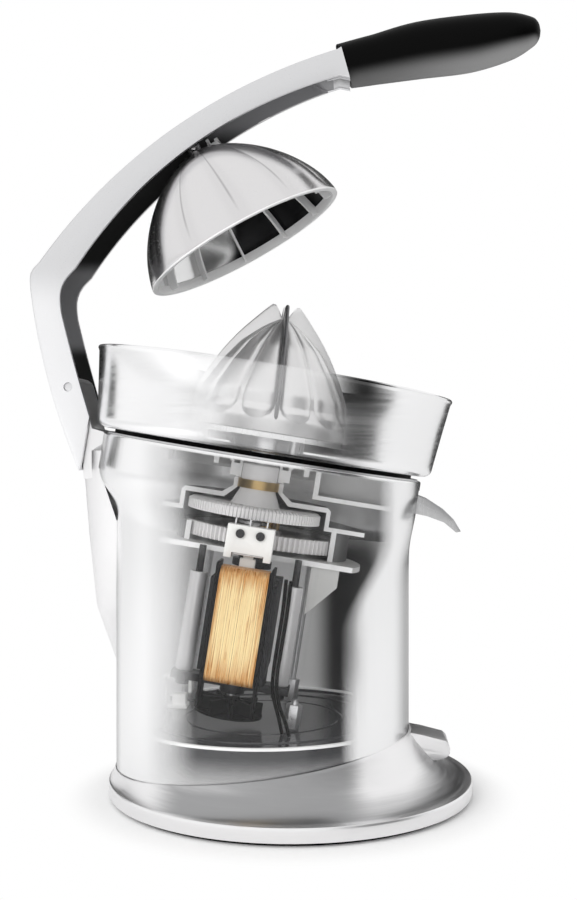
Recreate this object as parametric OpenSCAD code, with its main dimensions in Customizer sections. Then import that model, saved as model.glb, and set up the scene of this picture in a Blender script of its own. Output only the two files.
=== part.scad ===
// Electric citrus juicer with a lever press.
// The origin is the middle of the base on the surface it stands on.
// +X points to the spout, +Z up. Bowl, cone, gears and motor lean towards the spout.

/* [Overall] */
// Lean of the bowl, cone, gears and motor towards the spout, in degrees
lean = 9; // [7:0.5:11]
// Height of the housing's top plane on the housing's axis
top_z = 192.5; // [186:0.5:200]
// How far the rear of the housing stands inside the base's edge
rear_step = 4; // [2:0.5:7]
// Gap between parts that move past each other
run_gap = 0.3; // [0.25:0.05:0.4]
// Radial gap between a shaft and its bush
fit_gap = 0.05; // [0.02:0.01:0.1]

/* [Base] */
// Radius of the base casting at its band
base_r = 104; // [102:0.5:110]
// Height of the rubber ring under the base
rubber_h = 3; // [2:0.5:4]
// Height of the upper edge of the band
band_z = 10; // [8:0.5:12]
// Height of the seam between base and housing, on the housing's axis
seam_z = 27; // [25:0.5:28]
// Lean of that seam, which rises to the front, in degrees
seam_lean = 7.2; // [5:0.2:8]
// Height of the deck inside the base
deck_z = 42; // [41:0.5:43]
// Thickness of the deck and of the casting's walls
cast_wall = 3; // [2.5:0.25:4]
// Width of the rubber ring
rubber_w = 13; // [10:1:16]
// Thickness of the sheet that closes the base from below
floor_t = 1.5; // [1:0.25:2]

/* [Power paddle] */
// Width of the on and off paddle
paddle_w = 26; // [20:1:32]
// Length of the paddle in front of its pivot
paddle_len = 25; // [22:1:28]
// Radius of the paddle's pivot pin
paddle_pin_r = 1.5; // [1.2:0.1:2]

/* [Housing] */
// Outer radius of the housing
body_r = 84; // [82:0.5:85]
// Thickness of the housing's sheet
sheet = 1.2; // [1:0.1:1.6]
// How far the leaning collar stands out from the housing
collar_out = 8; // [7:0.5:10]
// Height of that collar
collar_h = 20; // [16:1:24]
// Height over which the collar draws in to the housing
collar_draw = 28; // [22:1:34]

/* [Top cover] */
// Thickness of the top cover
cover_t = 3; // [2.5:0.25:3.5]
// Radius of the cover's opening round the shaft seal
cover_hole_r = 25; // [24:0.5:27]
// Width of the juice chute, inside
chute_w = 26; // [22:1:30]
// Distance from the leaning axis to the chute's back wall
chute_back = 32; // [30:1:36]
// Depth of the chute under the cover
chute_d = 16; // [14:1:18]

/* [Bowl] */
// How far the foot of the bowl's wall stands out from the collar
bowl_out = 5; // [4:0.5:7]
// How much wider the bowl is at its rim than at the foot of its wall
bowl_flare = 5.5; // [3:0.5:8]
// Height of the bowl
bowl_h = 45; // [40:1:52]
// Thickness of the bowl's sheet
bowl_t = 1.2; // [1:0.1:1.5]
// Height of the slanted edge at the bowl's foot
bowl_edge = 3.5; // [3:0.5:5]
// Height of the gasket under the bowl
gasket_h = 3.5; // [3:0.25:4.5]
// Radius of the bowl's collar round the drive hub, inside
bowl_collar_r = 19.5; // [19:0.25:20.5]
// Height of that collar
bowl_collar_h = 18; // [12:1:20]
// Radius of the bowl's outlet
outlet_r = 8; // [6:0.5:9]
// Distance of the outlet from the leaning axis
outlet_u = 62; // [56:1:66]

/* [Filter] */
// How far the edge of the filter plate stays inside the foot of the bowl's wall
filter_in = 2.5; // [2.5:0.25:6]
// Height of the filter's rim
filter_rim = 2.5; // [2:0.5:3.5]
// Thickness of the filter plate
filter_t = 1; // [0.8:0.1:1.2]
// Height of the filter plate above the bowl's floor
filter_up = 7; // [6:0.5:8]
// Number of slots in each ring of the filter
slot_count = 48; // [36:1:56]
// Width of a filter slot
slot_w = 1.8; // [1.4:0.1:2.2]
// Length of a filter slot
slot_len = 13; // [10:0.5:15]

/* [Cone] */
// Radius of the cone at its foot
cone_r = 45; // [42:0.5:47]
// Height of the cone to the tips of its fins
cone_h = 75; // [70:1:80]
// Thickness of a fin
fin_t = 2.2; // [1.8:0.1:3]
// Petals between two fins
petals = 3; // [2:1:4]
// Thickness of the cone's shell
cone_wall = 2.5; // [2:0.25:3]

/* [Drive] */
// Radius of the drive shaft
shaft_r = 5; // [4.5:0.25:5.5]
// Gear module
gear_m = 1; // [1:1:1]
// Teeth inside the output ring gear
ring_teeth = 72; // [70:1:74]
// Teeth of the pinion on the countershaft
small_teeth = 16; // [15:1:17]
// Teeth of the big gear on the countershaft
big_teeth = 93; // [90:1:93]
// Teeth of the pinion on the motor shaft
motor_teeth = 12; // [12:1:13]
// Backlash between meshing teeth
backlash = 0.3; // [0.2:0.05:0.4]
// Width of the output gear
ring_w = 6; // [5:0.5:7]
// Width of the big gear
big_w = 8; // [6:0.5:9]
// How far the shaft sinks when fruit is pressed on the cone
press = 1.2; // [1:0.1:1.4]
// Radius of the countershaft
counter_r = 3; // [2.5:0.25:3.5]
// Radius of the drive hub where the lip seal runs
hub_r = 10.5; // [10:0.25:11]
// Wall of the gear case
case_wall = 2.5; // [2:0.25:3]

/* [Motor] */
// Radius of the rotor
rotor_r = 13; // [12:0.5:13.5]
// Air gap round the rotor
air_gap = 0.6; // [0.5:0.05:0.8]
// Radius of the motor shaft
motor_shaft_r = 2.5; // [2:0.25:3]
// Height of the lamination stack
stack_h = 50; // [44:1:50]
// Width of the winding along its own axis
coil_w = 28; // [24:1:30]
// Radius of the winding's wire bundle
wire_r = 0.32; // [0.28:0.02:0.34]
// Loops of the winding
coil_loops = 24; // [18:1:24]
// Radius of the silver sleeves beside the motor
sleeve_r = 5; // [4.5:0.25:5.5]

/* [Arm] */
// Width of the arm at its knee
arm_w = 44; // [42:1:48]
// Width of the arm where the grip starts
arm_tip_w = 25; // [22:1:28]
// Thickness of the arm's walls
arm_wall = 3; // [2.5:0.25:3.5]
// Radius of the hinge pin
hinge_r = 2.5; // [2.2:0.1:3]
// Length of the grip
grip_len = 112; // [105:1:120]

/* [Press dome] */
// Outer radius of the dome's rim
dome_r = 60.5; // [58:0.5:63]
// Height of the dome
dome_h = 61; // [58:1:62]
// Thickness of the dome
dome_t = 2.2; // [1.8:0.1:2.6]
// Number of ribs inside the dome
dome_ribs = 12; // [10:1:20]
// Lean of the dome at rest, in degrees from upright
dome_lean = -28.6; // [-30:0.2:-26]
// Radius of the dome's swivel pin
swivel_r = 2; // [1.8:0.1:2.4]

/* [Spout] */
// Width of the spout, outside
spout_w = 24; // [20:1:26]
// Thickness of the spout's sheet
spout_t = 1.2; // [1:0.1:1.5]
// Radius of the spout's pivot pins
spout_pin_r = 1.5; // [1.2:0.1:1.8]

/* [Hidden] */

eps = 0.01;
$fn = 96;
// Places that follow from the sizes above
body_back = base_r - body_r - rear_step;
rear_x = -body_back - body_r;
front_x = body_r - body_back;
collar_r = body_r + collar_out;
bowl_foot_r = collar_r + bowl_out;
bowl_r = bowl_foot_r + bowl_flare;
filter_r = bowl_foot_r - filter_in;

// The leaning frame has its origin on the housing's axis in the top plane
module on_axis(w = 0) translate([-body_back, 0, top_z]) rotate([0, lean, 0]) translate([0, 0, w]) children();
module on_body(z = 0) translate([-body_back, 0, z]) children();
// Column, arm and dome are drawn in one side view and follow the housing's rear and top
drawn_rear = -100;
drawn_top = 192.5;
module at_rear() translate([rear_x - drawn_rear, 0, top_z - drawn_top]) children();

// Points of the arc through three points in a plane
function arc_centre(a, b, c) =
    let (
        d = 2 * (a.x * (b.y - c.y) + b.x * (c.y - a.y) + c.x * (a.y - b.y)),
        aa = a.x * a.x + a.y * a.y,
        bb = b.x * b.x + b.y * b.y,
        cc = c.x * c.x + c.y * c.y
    ) [
        (aa * (b.y - c.y) + bb * (c.y - a.y) + cc * (a.y - b.y)) / d,
        (aa * (c.x - b.x) + bb * (a.x - c.x) + cc * (b.x - a.x)) / d
    ];
function turn(a) = a > 180 ? a - 360 : (a < -180 ? a + 360 : a);
function arc(a, b, c, n, inset = 0) =
    let (
        m = arc_centre(a, b, c),
        r = norm(a - m) - inset,
        s = atan2(a.y - m.y, a.x - m.x),
        h = turn(atan2(b.y - m.y, b.x - m.x) - s),
        e = h + turn(atan2(c.y - m.y, c.x - m.x) - s - h)
    ) [for (i = [0:n]) m + r * [cos(s + e * i / n), sin(s + e * i / n)]];

// A slab of the side view, centred on the middle plane
module side(width) rotate([90, 0, 0]) translate([0, 0, -width / 2]) linear_extrude(width) children();

/* Base */
skirt_steps = [0, 0.1, 0.3, 0.55, 0.8, 1];
deck_r = body_r - sheet - run_gap;
pocket_r = body_r - 8;
seam_step = 1.2;
// A ring of the skirt, from the band (q = 0) to the seam (q = 1)
module skirt_ring(q) {
    draw = sqrt(q);
    translate([-body_back * draw, 0, band_z + (seam_z - band_z) * q])
        rotate([0, -seam_lean * q, 0])
            translate([0, 0, -0.5]) cylinder(r = base_r - (base_r - body_r - seam_step) * draw, h = 0.5);
}
module under_seam(lift = 0) {
    on_body(seam_z + lift) rotate([0, -seam_lean, 0])
        translate([-2 * base_r, -2 * base_r, -4 * base_r]) cube(4 * base_r);
}
paddle_pin = [front_x - 3, 28];
paddle_out = paddle_pin.x + paddle_len;
module paddle_slot(gap) {
    wide = paddle_w + 2 * gap;
    translate([paddle_pin.x - 7, -wide / 2, paddle_pin.y - 7]) cube([11, wide, 13.6]);
    translate([front_x - 0.5, -wide / 2, paddle_pin.y - 8.2]) cube([60, wide, 40]);
}
module power_paddle() {
    color("#b9babd") difference() {
        side(paddle_w) polygon([
            [paddle_pin.x - 6, 22.5], [paddle_pin.x - 6, 26], [paddle_pin.x - 2, 31],
            [paddle_pin.x - 1, 33], [front_x - 0.3, 33.5], [front_x + 0.6, 36.6], [paddle_pin.x + 10, 35.5],
            [paddle_out - 2, 32.3], [paddle_out, 30.5], [paddle_out + 0.8, 28],
            [paddle_out + 0.6, 25], [paddle_out - 1.5, 22.6], [paddle_out - 6, 21.4], [paddle_pin.x + 11, 21.6]
        ]);
        translate([paddle_pin.x, paddle_w, paddle_pin.y]) rotate([90, 0, 0])
            cylinder(r = paddle_pin_r + fit_gap, h = 2 * paddle_w);
    }
}
module paddle_pin() {
    color("#8e8f92") translate([paddle_pin.x, paddle_w / 2 + 3.5, paddle_pin.y]) rotate([90, 0, 0])
        cylinder(r = paddle_pin_r, h = paddle_w + 7);
}
switch_low = 17;
module power_switch() {
    color("#232325") translate([paddle_pin.x - 24, -7, switch_low]) cube([17.1, 14, deck_z - cast_wall - switch_low]);
}
floor_r = base_r - 4;
module rubber_ring() {
    color("#1b1b1c") difference() {
        cylinder(r = floor_r, h = rubber_h);
        translate([0, 0, -1]) cylinder(r = floor_r - rubber_w, h = rubber_h + 2);
    }
}
screw_ring = base_r - 26;
module floor_plate() {
    color("#4a4b4d") difference() {
        translate([0, 0, rubber_h]) cylinder(r = floor_r, h = floor_t);
        for (a = [45:90:315]) rotate(a) translate([screw_ring, 0, 0]) cylinder(r = 1.6, h = 20);
    }
}
module floor_screws() {
    color("#9a9a9c") for (a = [45:90:315]) rotate(a) translate([screw_ring, 0, 0]) {
        translate([0, 0, rubber_h - 1.2]) cylinder(r = 3, h = 1.2);
        translate([0, 0, rubber_h - eps]) cylinder(r = 1.5, h = 9);
    }
}
boss_r = 5;
band_low = rubber_h - 1;
deck_lip = 1.5;
module base_casting() {
    color("#c9cacc") difference() {
        union() {
            translate([0, 0, band_low]) cylinder(r = base_r - 0.8, h = 2);
            translate([0, 0, band_low + 1]) cylinder(r = base_r, h = band_z - band_low - 1);
            for (i = [0:4]) hull() {
                skirt_ring(skirt_steps[i], $fn = 72);
                skirt_ring(skirt_steps[i + 1], $fn = 72);
            }
            on_body(band_z) cylinder(r = deck_r, h = deck_z + deck_lip - band_z);
            intersection() {
                on_body(band_z) cylinder(r = deck_r, h = 60);
                under_seam(4);
            }
        }
        // room for the sheet that closes the base
        translate([0, 0, -1]) cylinder(r = floor_r + run_gap, h = 1 + rubber_h + floor_t);
        // the pocket under the deck
        difference() {
            translate([0, 0, -1]) cylinder(r = base_r - 12, h = band_z + 1);
            for (a = [45:90:315]) rotate(a) translate([screw_ring, 0, -1]) cylinder(r = boss_r, h = 60);
        }
        difference() {
            on_body(-1) cylinder(r = pocket_r, h = deck_z - cast_wall + 1);
            for (a = [45:90:315]) rotate(a) translate([screw_ring, 0, -1]) cylinder(r = boss_r, h = 60);
        }
        // the well over the deck
        on_body(deck_z) cylinder(r = deck_r - cast_wall, h = 60);
        for (a = [45:90:315]) rotate(a) translate([screw_ring, 0, -1]) cylinder(r = 1.55, h = 14);
        paddle_slot(run_gap);
        translate([paddle_pin.x, paddle_w / 2 + 3.5, paddle_pin.y]) rotate([90, 0, 0])
            cylinder(r = paddle_pin_r + fit_gap, h = paddle_w + 7);
        rotate(gland_turn) translate([-base_r - 5, 0, gland_z]) rotate([0, 90, 0]) cylinder(r = gland_r, h = 40);
    }
}
gland_z = 10.5;
gland_r = 4.3;
gland_turn = -25;
module cord_gland() {
    color("#202022") rotate(gland_turn) translate([-base_r - 0.5, 0, gland_z]) rotate([0, 90, 0]) difference() {
        union() {
            translate([0, 0, -0.9]) cylinder(r = gland_r + 1.5, h = 1.4);
            cylinder(r = gland_r - 0.05, h = 14);
        }
        translate([0, 0, -5]) cylinder(r = 2.8, h = 40);
    }
}

/* Housing */
module collar_body(inset) {
    on_axis(-collar_h) cylinder(r = collar_r - inset, h = collar_h + (inset > 0 ? 1 : 0));
    on_axis(-collar_h - collar_draw)
        cylinder(r1 = body_r - inset - 6, r2 = collar_r - inset, h = collar_draw + eps);
}
module housing() {
    color("#cfd0d2") difference() {
        union() {
            collar_body(0);
            difference() {
                on_body(seam_z - 30) cylinder(r = body_r, h = top_z - seam_z + 30);
                on_axis(-collar_h / 2) translate([0, 0, 100]) cube([400, 400, 200], center = true);
                under_seam();
            }
        }
        difference() {
            collar_body(sheet);
            // ears for the cover screws
            for (a = cover_bolt_angles) on_axis(cover_top - cover_t - 0.1 - cover_ear.y) rotate(a)
                translate([cover_bolt_r - 5, -cover_ear.x / 2, 0]) cube([30, cover_ear.x, cover_ear.y]);
        }
        difference() {
            on_body(-1) cylinder(r = body_r - sheet, h = 250);
            on_axis(-collar_h) translate([0, 0, 100]) cube([400, 400, 200], center = true);
        }
        for (a = cover_bolt_angles) on_axis(-20) rotate(a) translate([cover_bolt_r, 0, 0]) cylinder(r = 1.55, h = 20);
        spout_window();
        at_rear() translate([0, 0, hinge_z]) for (z = column_screw_z) translate([-150, 0, z]) rotate([0, 90, 0])
            cylinder(r = 2.2, h = 80);
    }
}

/* Hinge column */
hinge_x = -125;
hinge_z = 232;
hinge_at = [hinge_x, 0, hinge_z];
column_screw_z = [-60, -95];
column_w = 50;
lug_w = arm_w - 2 * arm_wall - 2;
module hinge_column() {
    color("#c4c5c8") difference() {
        at_rear() union() {
            difference() {
                union() {
                    hull() {
                        translate([-99, 0, 76]) sphere(r = 3, $fn = 24);
                        translate([-95, 0, 110]) sphere(r = 18, $fn = 32);
                        translate([-92, 0, 150]) sphere(r = 25, $fn = 32);
                    }
                    hull() {
                        translate([-92, 0, 150]) sphere(r = 25, $fn = 32);
                        translate([-95, 0, 186]) cylinder(r = 25, h = 10, $fn = 48);
                        translate([-98, -16, 186]) cube([10, 32, 21]);
                    }
                }
                // room for the arm's tail
                side(120) polygon([tail + [-90, -0.5], tail + [0.6, -0.5], lip_low + [0.6, 0], lip_low + [0.6, 90], tail + [-90, 120]]);
            }
            // the lug that stands inside the arm
            side(lug_w) polygon([
                [-117, 180], [-117.2, 191], [-119, 205], [-127, 220], [-131.2, 230], [-124, 238.2],
                [-118.8, 233.5], [-114.8, 220], [-112.2, 208.6], [-100, 205], [-96, 180]
            ]);
            translate(hinge_at) rotate([90, 0, 0]) translate([0, 0, -lug_w / 2]) cylinder(r = lug_r, h = lug_w);
        }
        // it seats on the housing and on its collar
        on_body() cylinder(r = body_r + fit_gap, h = 300);
        on_axis(-collar_h) cylinder(r = collar_r + fit_gap, h = 100);
        on_axis(-collar_h - collar_draw) cylinder(r1 = body_r - 6 + fit_gap, r2 = collar_r + fit_gap, h = collar_draw + eps);
        at_rear() translate(hinge_at) rotate([90, 0, 0]) translate([0, 0, -60]) cylinder(r = bush_r, h = 120);
        at_rear() translate([0, 0, hinge_z]) for (z = column_screw_z) translate([-150, 0, z]) rotate([0, 90, 0])
            cylinder(r = 1.55, h = 80);
    }
}
module column_screws() {
    color("#8f9094") for (z = column_screw_z) translate([rear_x + sheet, 0, top_z - drawn_top + hinge_z + z]) {
        rotate([0, -90, 0]) cylinder(r = 1.5, h = 12);
        translate([0.1, 0, 0]) rotate([0, 90, 0]) cylinder(r = 3.2, h = 2);
    }
}
bush_r = hinge_r + 1.5;
lug_r = hinge_r + 3.9;
module hinge_bushes() {
    color("#e4e1d6") at_rear() translate(hinge_at) rotate([90, 0, 0]) difference() {
        translate([0, 0, -lug_w / 2 - 0.6]) cylinder(r = bush_r - eps, h = lug_w + 1.2);
        translate([0, 0, -60]) cylinder(r = hinge_r + fit_gap, h = 120);
    }
}
module hinge_pin() {
    color("#8b8d91") at_rear() translate(hinge_at) rotate([90, 0, 0])
        translate([0, 0, -arm_w / 2 + 1]) cylinder(r = hinge_r, h = arm_w - 2);
}

/* Top cover */
cover_top = -0.8;
module spout_window() {
    on_axis(cover_top - cover_t - chute_d + 1.2)
        translate([collar_r - 14, -spout_w / 2 - 1, 0]) cube([30, spout_w + 2, chute_d - 2.5]);
}
module top_cover() {
    color("#e9e9e6") on_axis(cover_top - cover_t) difference() {
        union() {
            cylinder(r = collar_r - sheet - run_gap, h = cover_t);
            // skirt inside the collar
            translate([0, 0, -8]) difference() {
                cylinder(r = collar_r - sheet - run_gap, h = 9);
                translate([0, 0, -1]) cylinder(r = collar_r - sheet - run_gap - 2.5, h = 12);
            }
            // curled lip round the shaft opening
            translate([0, 0, -4]) cylinder(r = cover_hole_r + 3, h = 5);
            // chute
            translate([chute_back, -chute_w / 2 - 2.5, -chute_d])
                cube([collar_r - 8 - chute_back, chute_w + 5, chute_d + 1]);
            translate([collar_r - 9, -chute_w / 2 - 2.5, -chute_d + 5]) cube([5.5, chute_w + 5, chute_d - 4]);
            // bosses that carry the gear case
            for (p = case_bolts) translate([p.x, p.y, -18]) cylinder(r = 4.5, h = 19);
        }
        translate([0, 0, -30]) cylinder(r = cover_hole_r, h = 60);
        translate([chute_back + 3, -chute_w / 2, 2.5 - chute_d]) cube([collar_r, chute_w, chute_d - 2.5 - 0.2]);
        translate([outlet_u - 16, -chute_w / 2 + 1, -5]) cube([28, chute_w - 2, 20]);
        for (p = case_bolts) translate([p.x, p.y, -30]) cylinder(r = 1.55, h = 28);
        translate([spout_at.x, 0, spout_at.y - cover_top + cover_t]) rotate([90, 0, 0]) translate([0, 0, -30])
            cylinder(r = spout_pin_r + fit_gap, h = 60);
        for (a = cover_bolt_angles) rotate(a) {
            translate([cover_bolt_r, 0, -30]) cylinder(r = 1.6, h = 60);
            translate([cover_bolt_r - 5 - run_gap, -cover_ear.x / 2 - run_gap, -cover_ear.y - 4])
                cube([30, cover_ear.x + 2 * run_gap, cover_ear.y + 4]);
        }
    }
}
cover_bolt_angles = [40, 140, 220, 320];
cover_bolt_r = collar_r - 16;
cover_ear = [10, 9];
module cover_screws() {
    color("#9b9ca0") on_axis(cover_top) for (a = cover_bolt_angles) rotate(a) translate([cover_bolt_r, 0, 0]) {
        translate([0, 0, -11]) cylinder(r = 1.5, h = 11.1);
        translate([0, 0, 0.02]) cylinder(r = 3, h = 1.4);
    }
}
seat_r = collar_r - 6;
module bowl_gasket() {
    color("#141415") on_axis(cover_top + 0.02) difference() {
        cylinder(r = seat_r, h = gasket_h + 0.3);
        translate([0, 0, -1]) cylinder(r = seat_r - 4.5, h = gasket_h + 3);
    }
}
module bowl_seat_ring() {
    color("#8f9195") on_axis(cover_top + 0.02) difference() {
        cylinder(r = seat_r + 4, h = 1.6);
        translate([0, 0, -1]) cylinder(r = seat_r + run_gap, h = 5);
    }
}
neck_w = -14;
neck_len = 5;
module shaft_seal() {
    color("#f2f1ec") on_axis() rotate_extrude() polygon([
        [hub_r + run_gap, -1.8], [hub_r + run_gap + 1.6, -1.8], [hub_r + run_gap + 1.6, -6], [hub_r + 5.5, -6],
        [hub_r + 5.5, -2.2], [hub_r + 8, -2.2], [hub_r + 8, -5], [hub_r + 7, -5], [hub_r + 7, -13],
        [hub_r + 3.5, -13], [hub_r + 3.5, neck_w + 0.3], [hub_r + run_gap, neck_w + 0.3]
    ]);
}

/* Gear case */
plate_at = [5.5, 8];
plate_r = 60;
case_bolts = [for (a = [197, 240, 300, 325]) plate_at + (plate_r - 5) * [cos(a), sin(a)]];
// In the leaning frame: the countershaft and the motor stand beside the main axis
counter_d = gear_m * (ring_teeth - small_teeth) / 2;
counter_u = 5.5;
counter_at = [counter_u, sqrt(counter_d * counter_d - counter_u * counter_u)];
motor_d = gear_m * (big_teeth + motor_teeth) / 2;
motor_u = 5;
motor_at = [motor_u, counter_at.y - sqrt(motor_d * motor_d - pow(counter_at.x - motor_u, 2))];
gear_top = -28.5;
big_top = -43;
plate_top = -54;
ring_out = gear_m * ring_teeth / 2 + 2.4;
big_out = gear_m * (big_teeth / 2 + 1);
case_in = big_out + 1.5;
ring_room = ring_out + 3;
module gear_case() {
    color("#d9d9d6") on_axis() difference() {
        union() {
            // neck, funnel and chamber of the output gear
            rotate_extrude() polygon([
                [0, neck_w], [hub_r + 4, neck_w], [hub_r + 4, neck_w - neck_len], [hub_r + 10, gear_top + 5],
                [ring_room + case_wall - 2, gear_top + 5], [ring_room + case_wall, gear_top + 3],
                [ring_room + case_wall, big_top + 6], [0, big_top + 6]
            ]);
            // chamber of the big gear
            translate([counter_at.x, counter_at.y, plate_top])
                cylinder(r = case_in + case_wall, h = big_top + 6 + case_wall - plate_top);
            translate([plate_at.x, plate_at.y, big_top + 6]) cylinder(r = plate_r, h = case_wall);
            for (p = case_bolts) translate([p.x, p.y, plate_top])
                cylinder(r = 4.5, h = -18 + cover_top - cover_t - plate_top);
            translate([motor_at.x, motor_at.y, plate_top]) cylinder(r = 11, h = 14.5);
        }
        rotate_extrude() polygon([
            [0, neck_w + 1], [hub_r + 1.5, neck_w + 1], [hub_r + 1.5, neck_w - neck_len - 0.5],
            [hub_r + 8.3, gear_top + 2.2], [ring_room, gear_top + 2.2], [ring_room, big_top], [0, big_top]
        ]);
        translate([counter_at.x, counter_at.y, plate_top - 1]) cylinder(r = case_in, h = big_top + 6 - plate_top + 1);
        translate([motor_at.x, motor_at.y, plate_top - 1]) cylinder(r = 8.5, h = 13.5);
        for (p = case_bolts) translate([p.x, p.y, -100]) cylinder(r = 1.7, h = 100);
        // gap for the arm of the thrust plate
        translate([-13, -70, big_top + 0.5]) cube([26, 40, 7]);
        // room for the terminals of the microswitch
        translate([-14, -80, -39]) cube([36, 41, 8]);
    }
}
module mounting_plate() {
    color("#cfcfcb") on_axis(plate_top - cast_wall) difference() {
        union() {
            translate([plate_at.x, plate_at.y, 0]) cylinder(r = plate_r, h = cast_wall - 0.02);
            for (x = sleeve_u) translate([x, sleeve_v, -12]) cylinder(r = 4.2, h = 13);
            for (p = tie_at) translate([p.x, p.y, -4]) cylinder(r = 4, h = 5);
            // stiffening webs under the plate
            translate([38, -10, -28]) gusset(16, 28);
            mirror([1, 0, 0]) translate([34, -26, -30]) gusset(6, 30);
            translate([counter_at.x, counter_at.y, -6]) cylinder(r = 7, h = 7);
            // posts behind the microswitch
            for (x = [-4.9, 6.6]) translate([x, -40.1, 0]) cube([5.4, 3.8, 19]);
        }
        translate([motor_at.x, motor_at.y, -20]) cylinder(r = 8.5, h = 40);
        translate([counter_at.x, counter_at.y, -20]) cylinder(r = counter_r + 2, h = 40);
        for (x = sleeve_u) translate([x, sleeve_v, -20]) cylinder(r = 2.05, h = 40);
        for (p = tie_at) translate([p.x, p.y, -20]) cylinder(r = 2.05, h = 40);
        for (p = case_bolts) translate([p.x, p.y, -20]) cylinder(r = 1.7, h = 40);
        // notch for the microswitch and slot for the thrust plate's arm
        translate([-12, -80, -20]) cube([32, 40.1, 40]);
        translate([0.8, -44, -20]) cube([5.6, 7.1, 40]);
        for (x = [-5.5, 5.5]) translate([switch_at.x + x, -20, switch_w + 13.6 - plate_top + cast_wall]) rotate([90, 0, 0])
            cylinder(r = 1.5 + eps, h = 40);
    }
}
module gusset(long, high) {
    rotate([90, 0, 0]) linear_extrude(2.4) polygon([[0, 0], [0, high + 0.5], [long, high + 0.5], [long, high - 10]]);
}
sleeve_u = [-24, 30.6];
sleeve_v = -20;
tie_at = [[41, -32], [-33, -32], [36, 44], [-26, 44]];
module case_screws() {
    color("#98999d") on_axis() for (p = case_bolts) translate([p.x, p.y, 0]) {
        translate([0, 0, plate_top - cast_wall - 2]) cylinder(r = 3.2, h = 1.98);
        translate([0, 0, plate_top - cast_wall - 0.1]) cylinder(r = 1.5, h = 46);
    }
}
module shaft_bushes() {
    color("#b08d4a") on_axis() {
        translate([counter_at.x, counter_at.y, plate_top - 9]) difference() {
            cylinder(r = counter_r + 2 - 2 * eps, h = 9 + 2.5);
            translate([0, 0, -1]) cylinder(r = counter_r + fit_gap, h = 30);
        }
        translate([0, 0, neck_w - neck_len]) difference() {
            cylinder(r = hub_r + 1.5 - eps, h = neck_len);
            translate([0, 0, -1]) cylinder(r = hub_r + fit_gap, h = neck_len + 2);
        }
    }
}

/* Gears */
function inv_deg(r, rb) = let (t = sqrt(max(0, r * r / (rb * rb) - 1))) t * 180 / PI - atan(t);
// Outline of a spur gear; grow widens the teeth, as for the cutter of an inner gear
function gear_outline(z, grow, up, down) =
    let (
        m = gear_m,
        rp = m * z / 2,
        rb = rp * cos(20),
        ra = rp + up * m,
        rf = rp - down * m,
        half = 90 / z + grow / rp * 90 / PI,
        lift = inv_deg(rp, rb),
        r0 = max(rb, rf),
        flank = [for (i = [0:4]) let (r = r0 + (ra - r0) * i / 4) [r, half + lift - inv_deg(r, rb)]]
    ) [for (k = [0:z - 1]) each concat(
        rf < rb ? [rf * [cos(k * 360 / z - flank[0][1]), sin(k * 360 / z - flank[0][1])]] : [],
        [for (f = flank) f[0] * [cos(k * 360 / z - f[1]), sin(k * 360 / z - f[1])]],
        [for (i = [4:-1:0]) flank[i][0] * [cos(k * 360 / z + flank[i][1]), sin(k * 360 / z + flank[i][1])]],
        rf < rb ? [rf * [cos(k * 360 / z + flank[0][1]), sin(k * 360 / z + flank[0][1])]] : []
    )];
module outer_gear(z, wide) linear_extrude(wide) polygon(gear_outline(z, -backlash / 4, 0.9, 1.2));
module at_counter(w) on_axis(w) translate([counter_at.x, counter_at.y, 0]) children();
module at_motor(w) on_axis(w) translate([motor_at.x, motor_at.y, 0]) children();
// Angles at which a tooth of each gear meets a gap of its partner
to_counter = atan2(counter_at.y, counter_at.x);
to_motor = atan2(motor_at.y - counter_at.y, motor_at.x - counter_at.x);
ring_turn = to_counter + 180 / ring_teeth;
small_turn = to_counter + 180 / small_teeth;
big_turn = to_motor;
motor_turn = to_motor + 180 + 180 / motor_teeth;
module output_gear() {
    color("#b7b8b4") on_axis() {
        difference() {
            union() {
                rotate_extrude() polygon([
                    [0, -4.5], [hub_r - 1, -4.5], [hub_r, -5.5], [hub_r, neck_w - neck_len - 1], [hub_r + 4, gear_top],
                    [ring_out - 2, gear_top + 0.6], [ring_out, gear_top - 0.6], [ring_out, gear_top - ring_w],
                    [ring_out - 1.1, gear_top - ring_w], [ring_out - 1.1, gear_top - 2],
                    [11, gear_top - 2], [11, gear_top - ring_w - 1.5], [0, gear_top - ring_w - 1.5]
                ]);
            }
            translate([0, 0, -60]) cylinder(r = shaft_r + fit_gap, h = 60);
        }
        translate([0, 0, gear_top - ring_w]) difference() {
            cylinder(r = ring_out - 1, h = ring_w - 2);
            translate([0, 0, -1]) rotate(ring_turn) linear_extrude(ring_w + 2)
                polygon(gear_outline(ring_teeth, backlash / 4, 1.2, 0.85));
        }
    }
}
shaft_top = 52;
shaft_low = -37.5;
module drive_shaft() {
    color("#b9bbc0") on_axis() {
        translate([0, 0, shaft_low]) cylinder(r = shaft_r, h = shaft_top - 1.5 - shaft_low);
        translate([0, 0, shaft_top - 1.5]) cylinder(r1 = shaft_r, r2 = shaft_r - 1.5, h = 1.5);
        // shoulder that carries the cone
        translate([0, 0, -4.3]) cylinder(r = shaft_r + 2, h = cone_low - 0.1 + 4.3);
    }
}
module thrust_plate() {
    color("#a9abb0") on_axis() {
        translate([0, 0, shaft_low - 1.8]) cylinder(r = 9, h = 1.5);
        translate([1.2, -38.8, shaft_low - 1.8]) cube([4.8, 38, 1.5]);
        translate([1.2, -38.8, foot_w]) cube([4.8, 1.5, shaft_low - 0.3 - foot_w]);
        translate([0, -44.5, foot_w]) cube([7.5, 7, 1.5]);
    }
}
foot_w = -62.2;
module small_pinion() {
    color("#caa24a") at_counter(big_top + eps) difference() {
        rotate(small_turn) outer_gear(small_teeth, gear_top - 2.5 - press - big_top - eps);
        translate([0, 0, -5]) cylinder(r = counter_r + eps, h = 40);
    }
}
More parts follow.
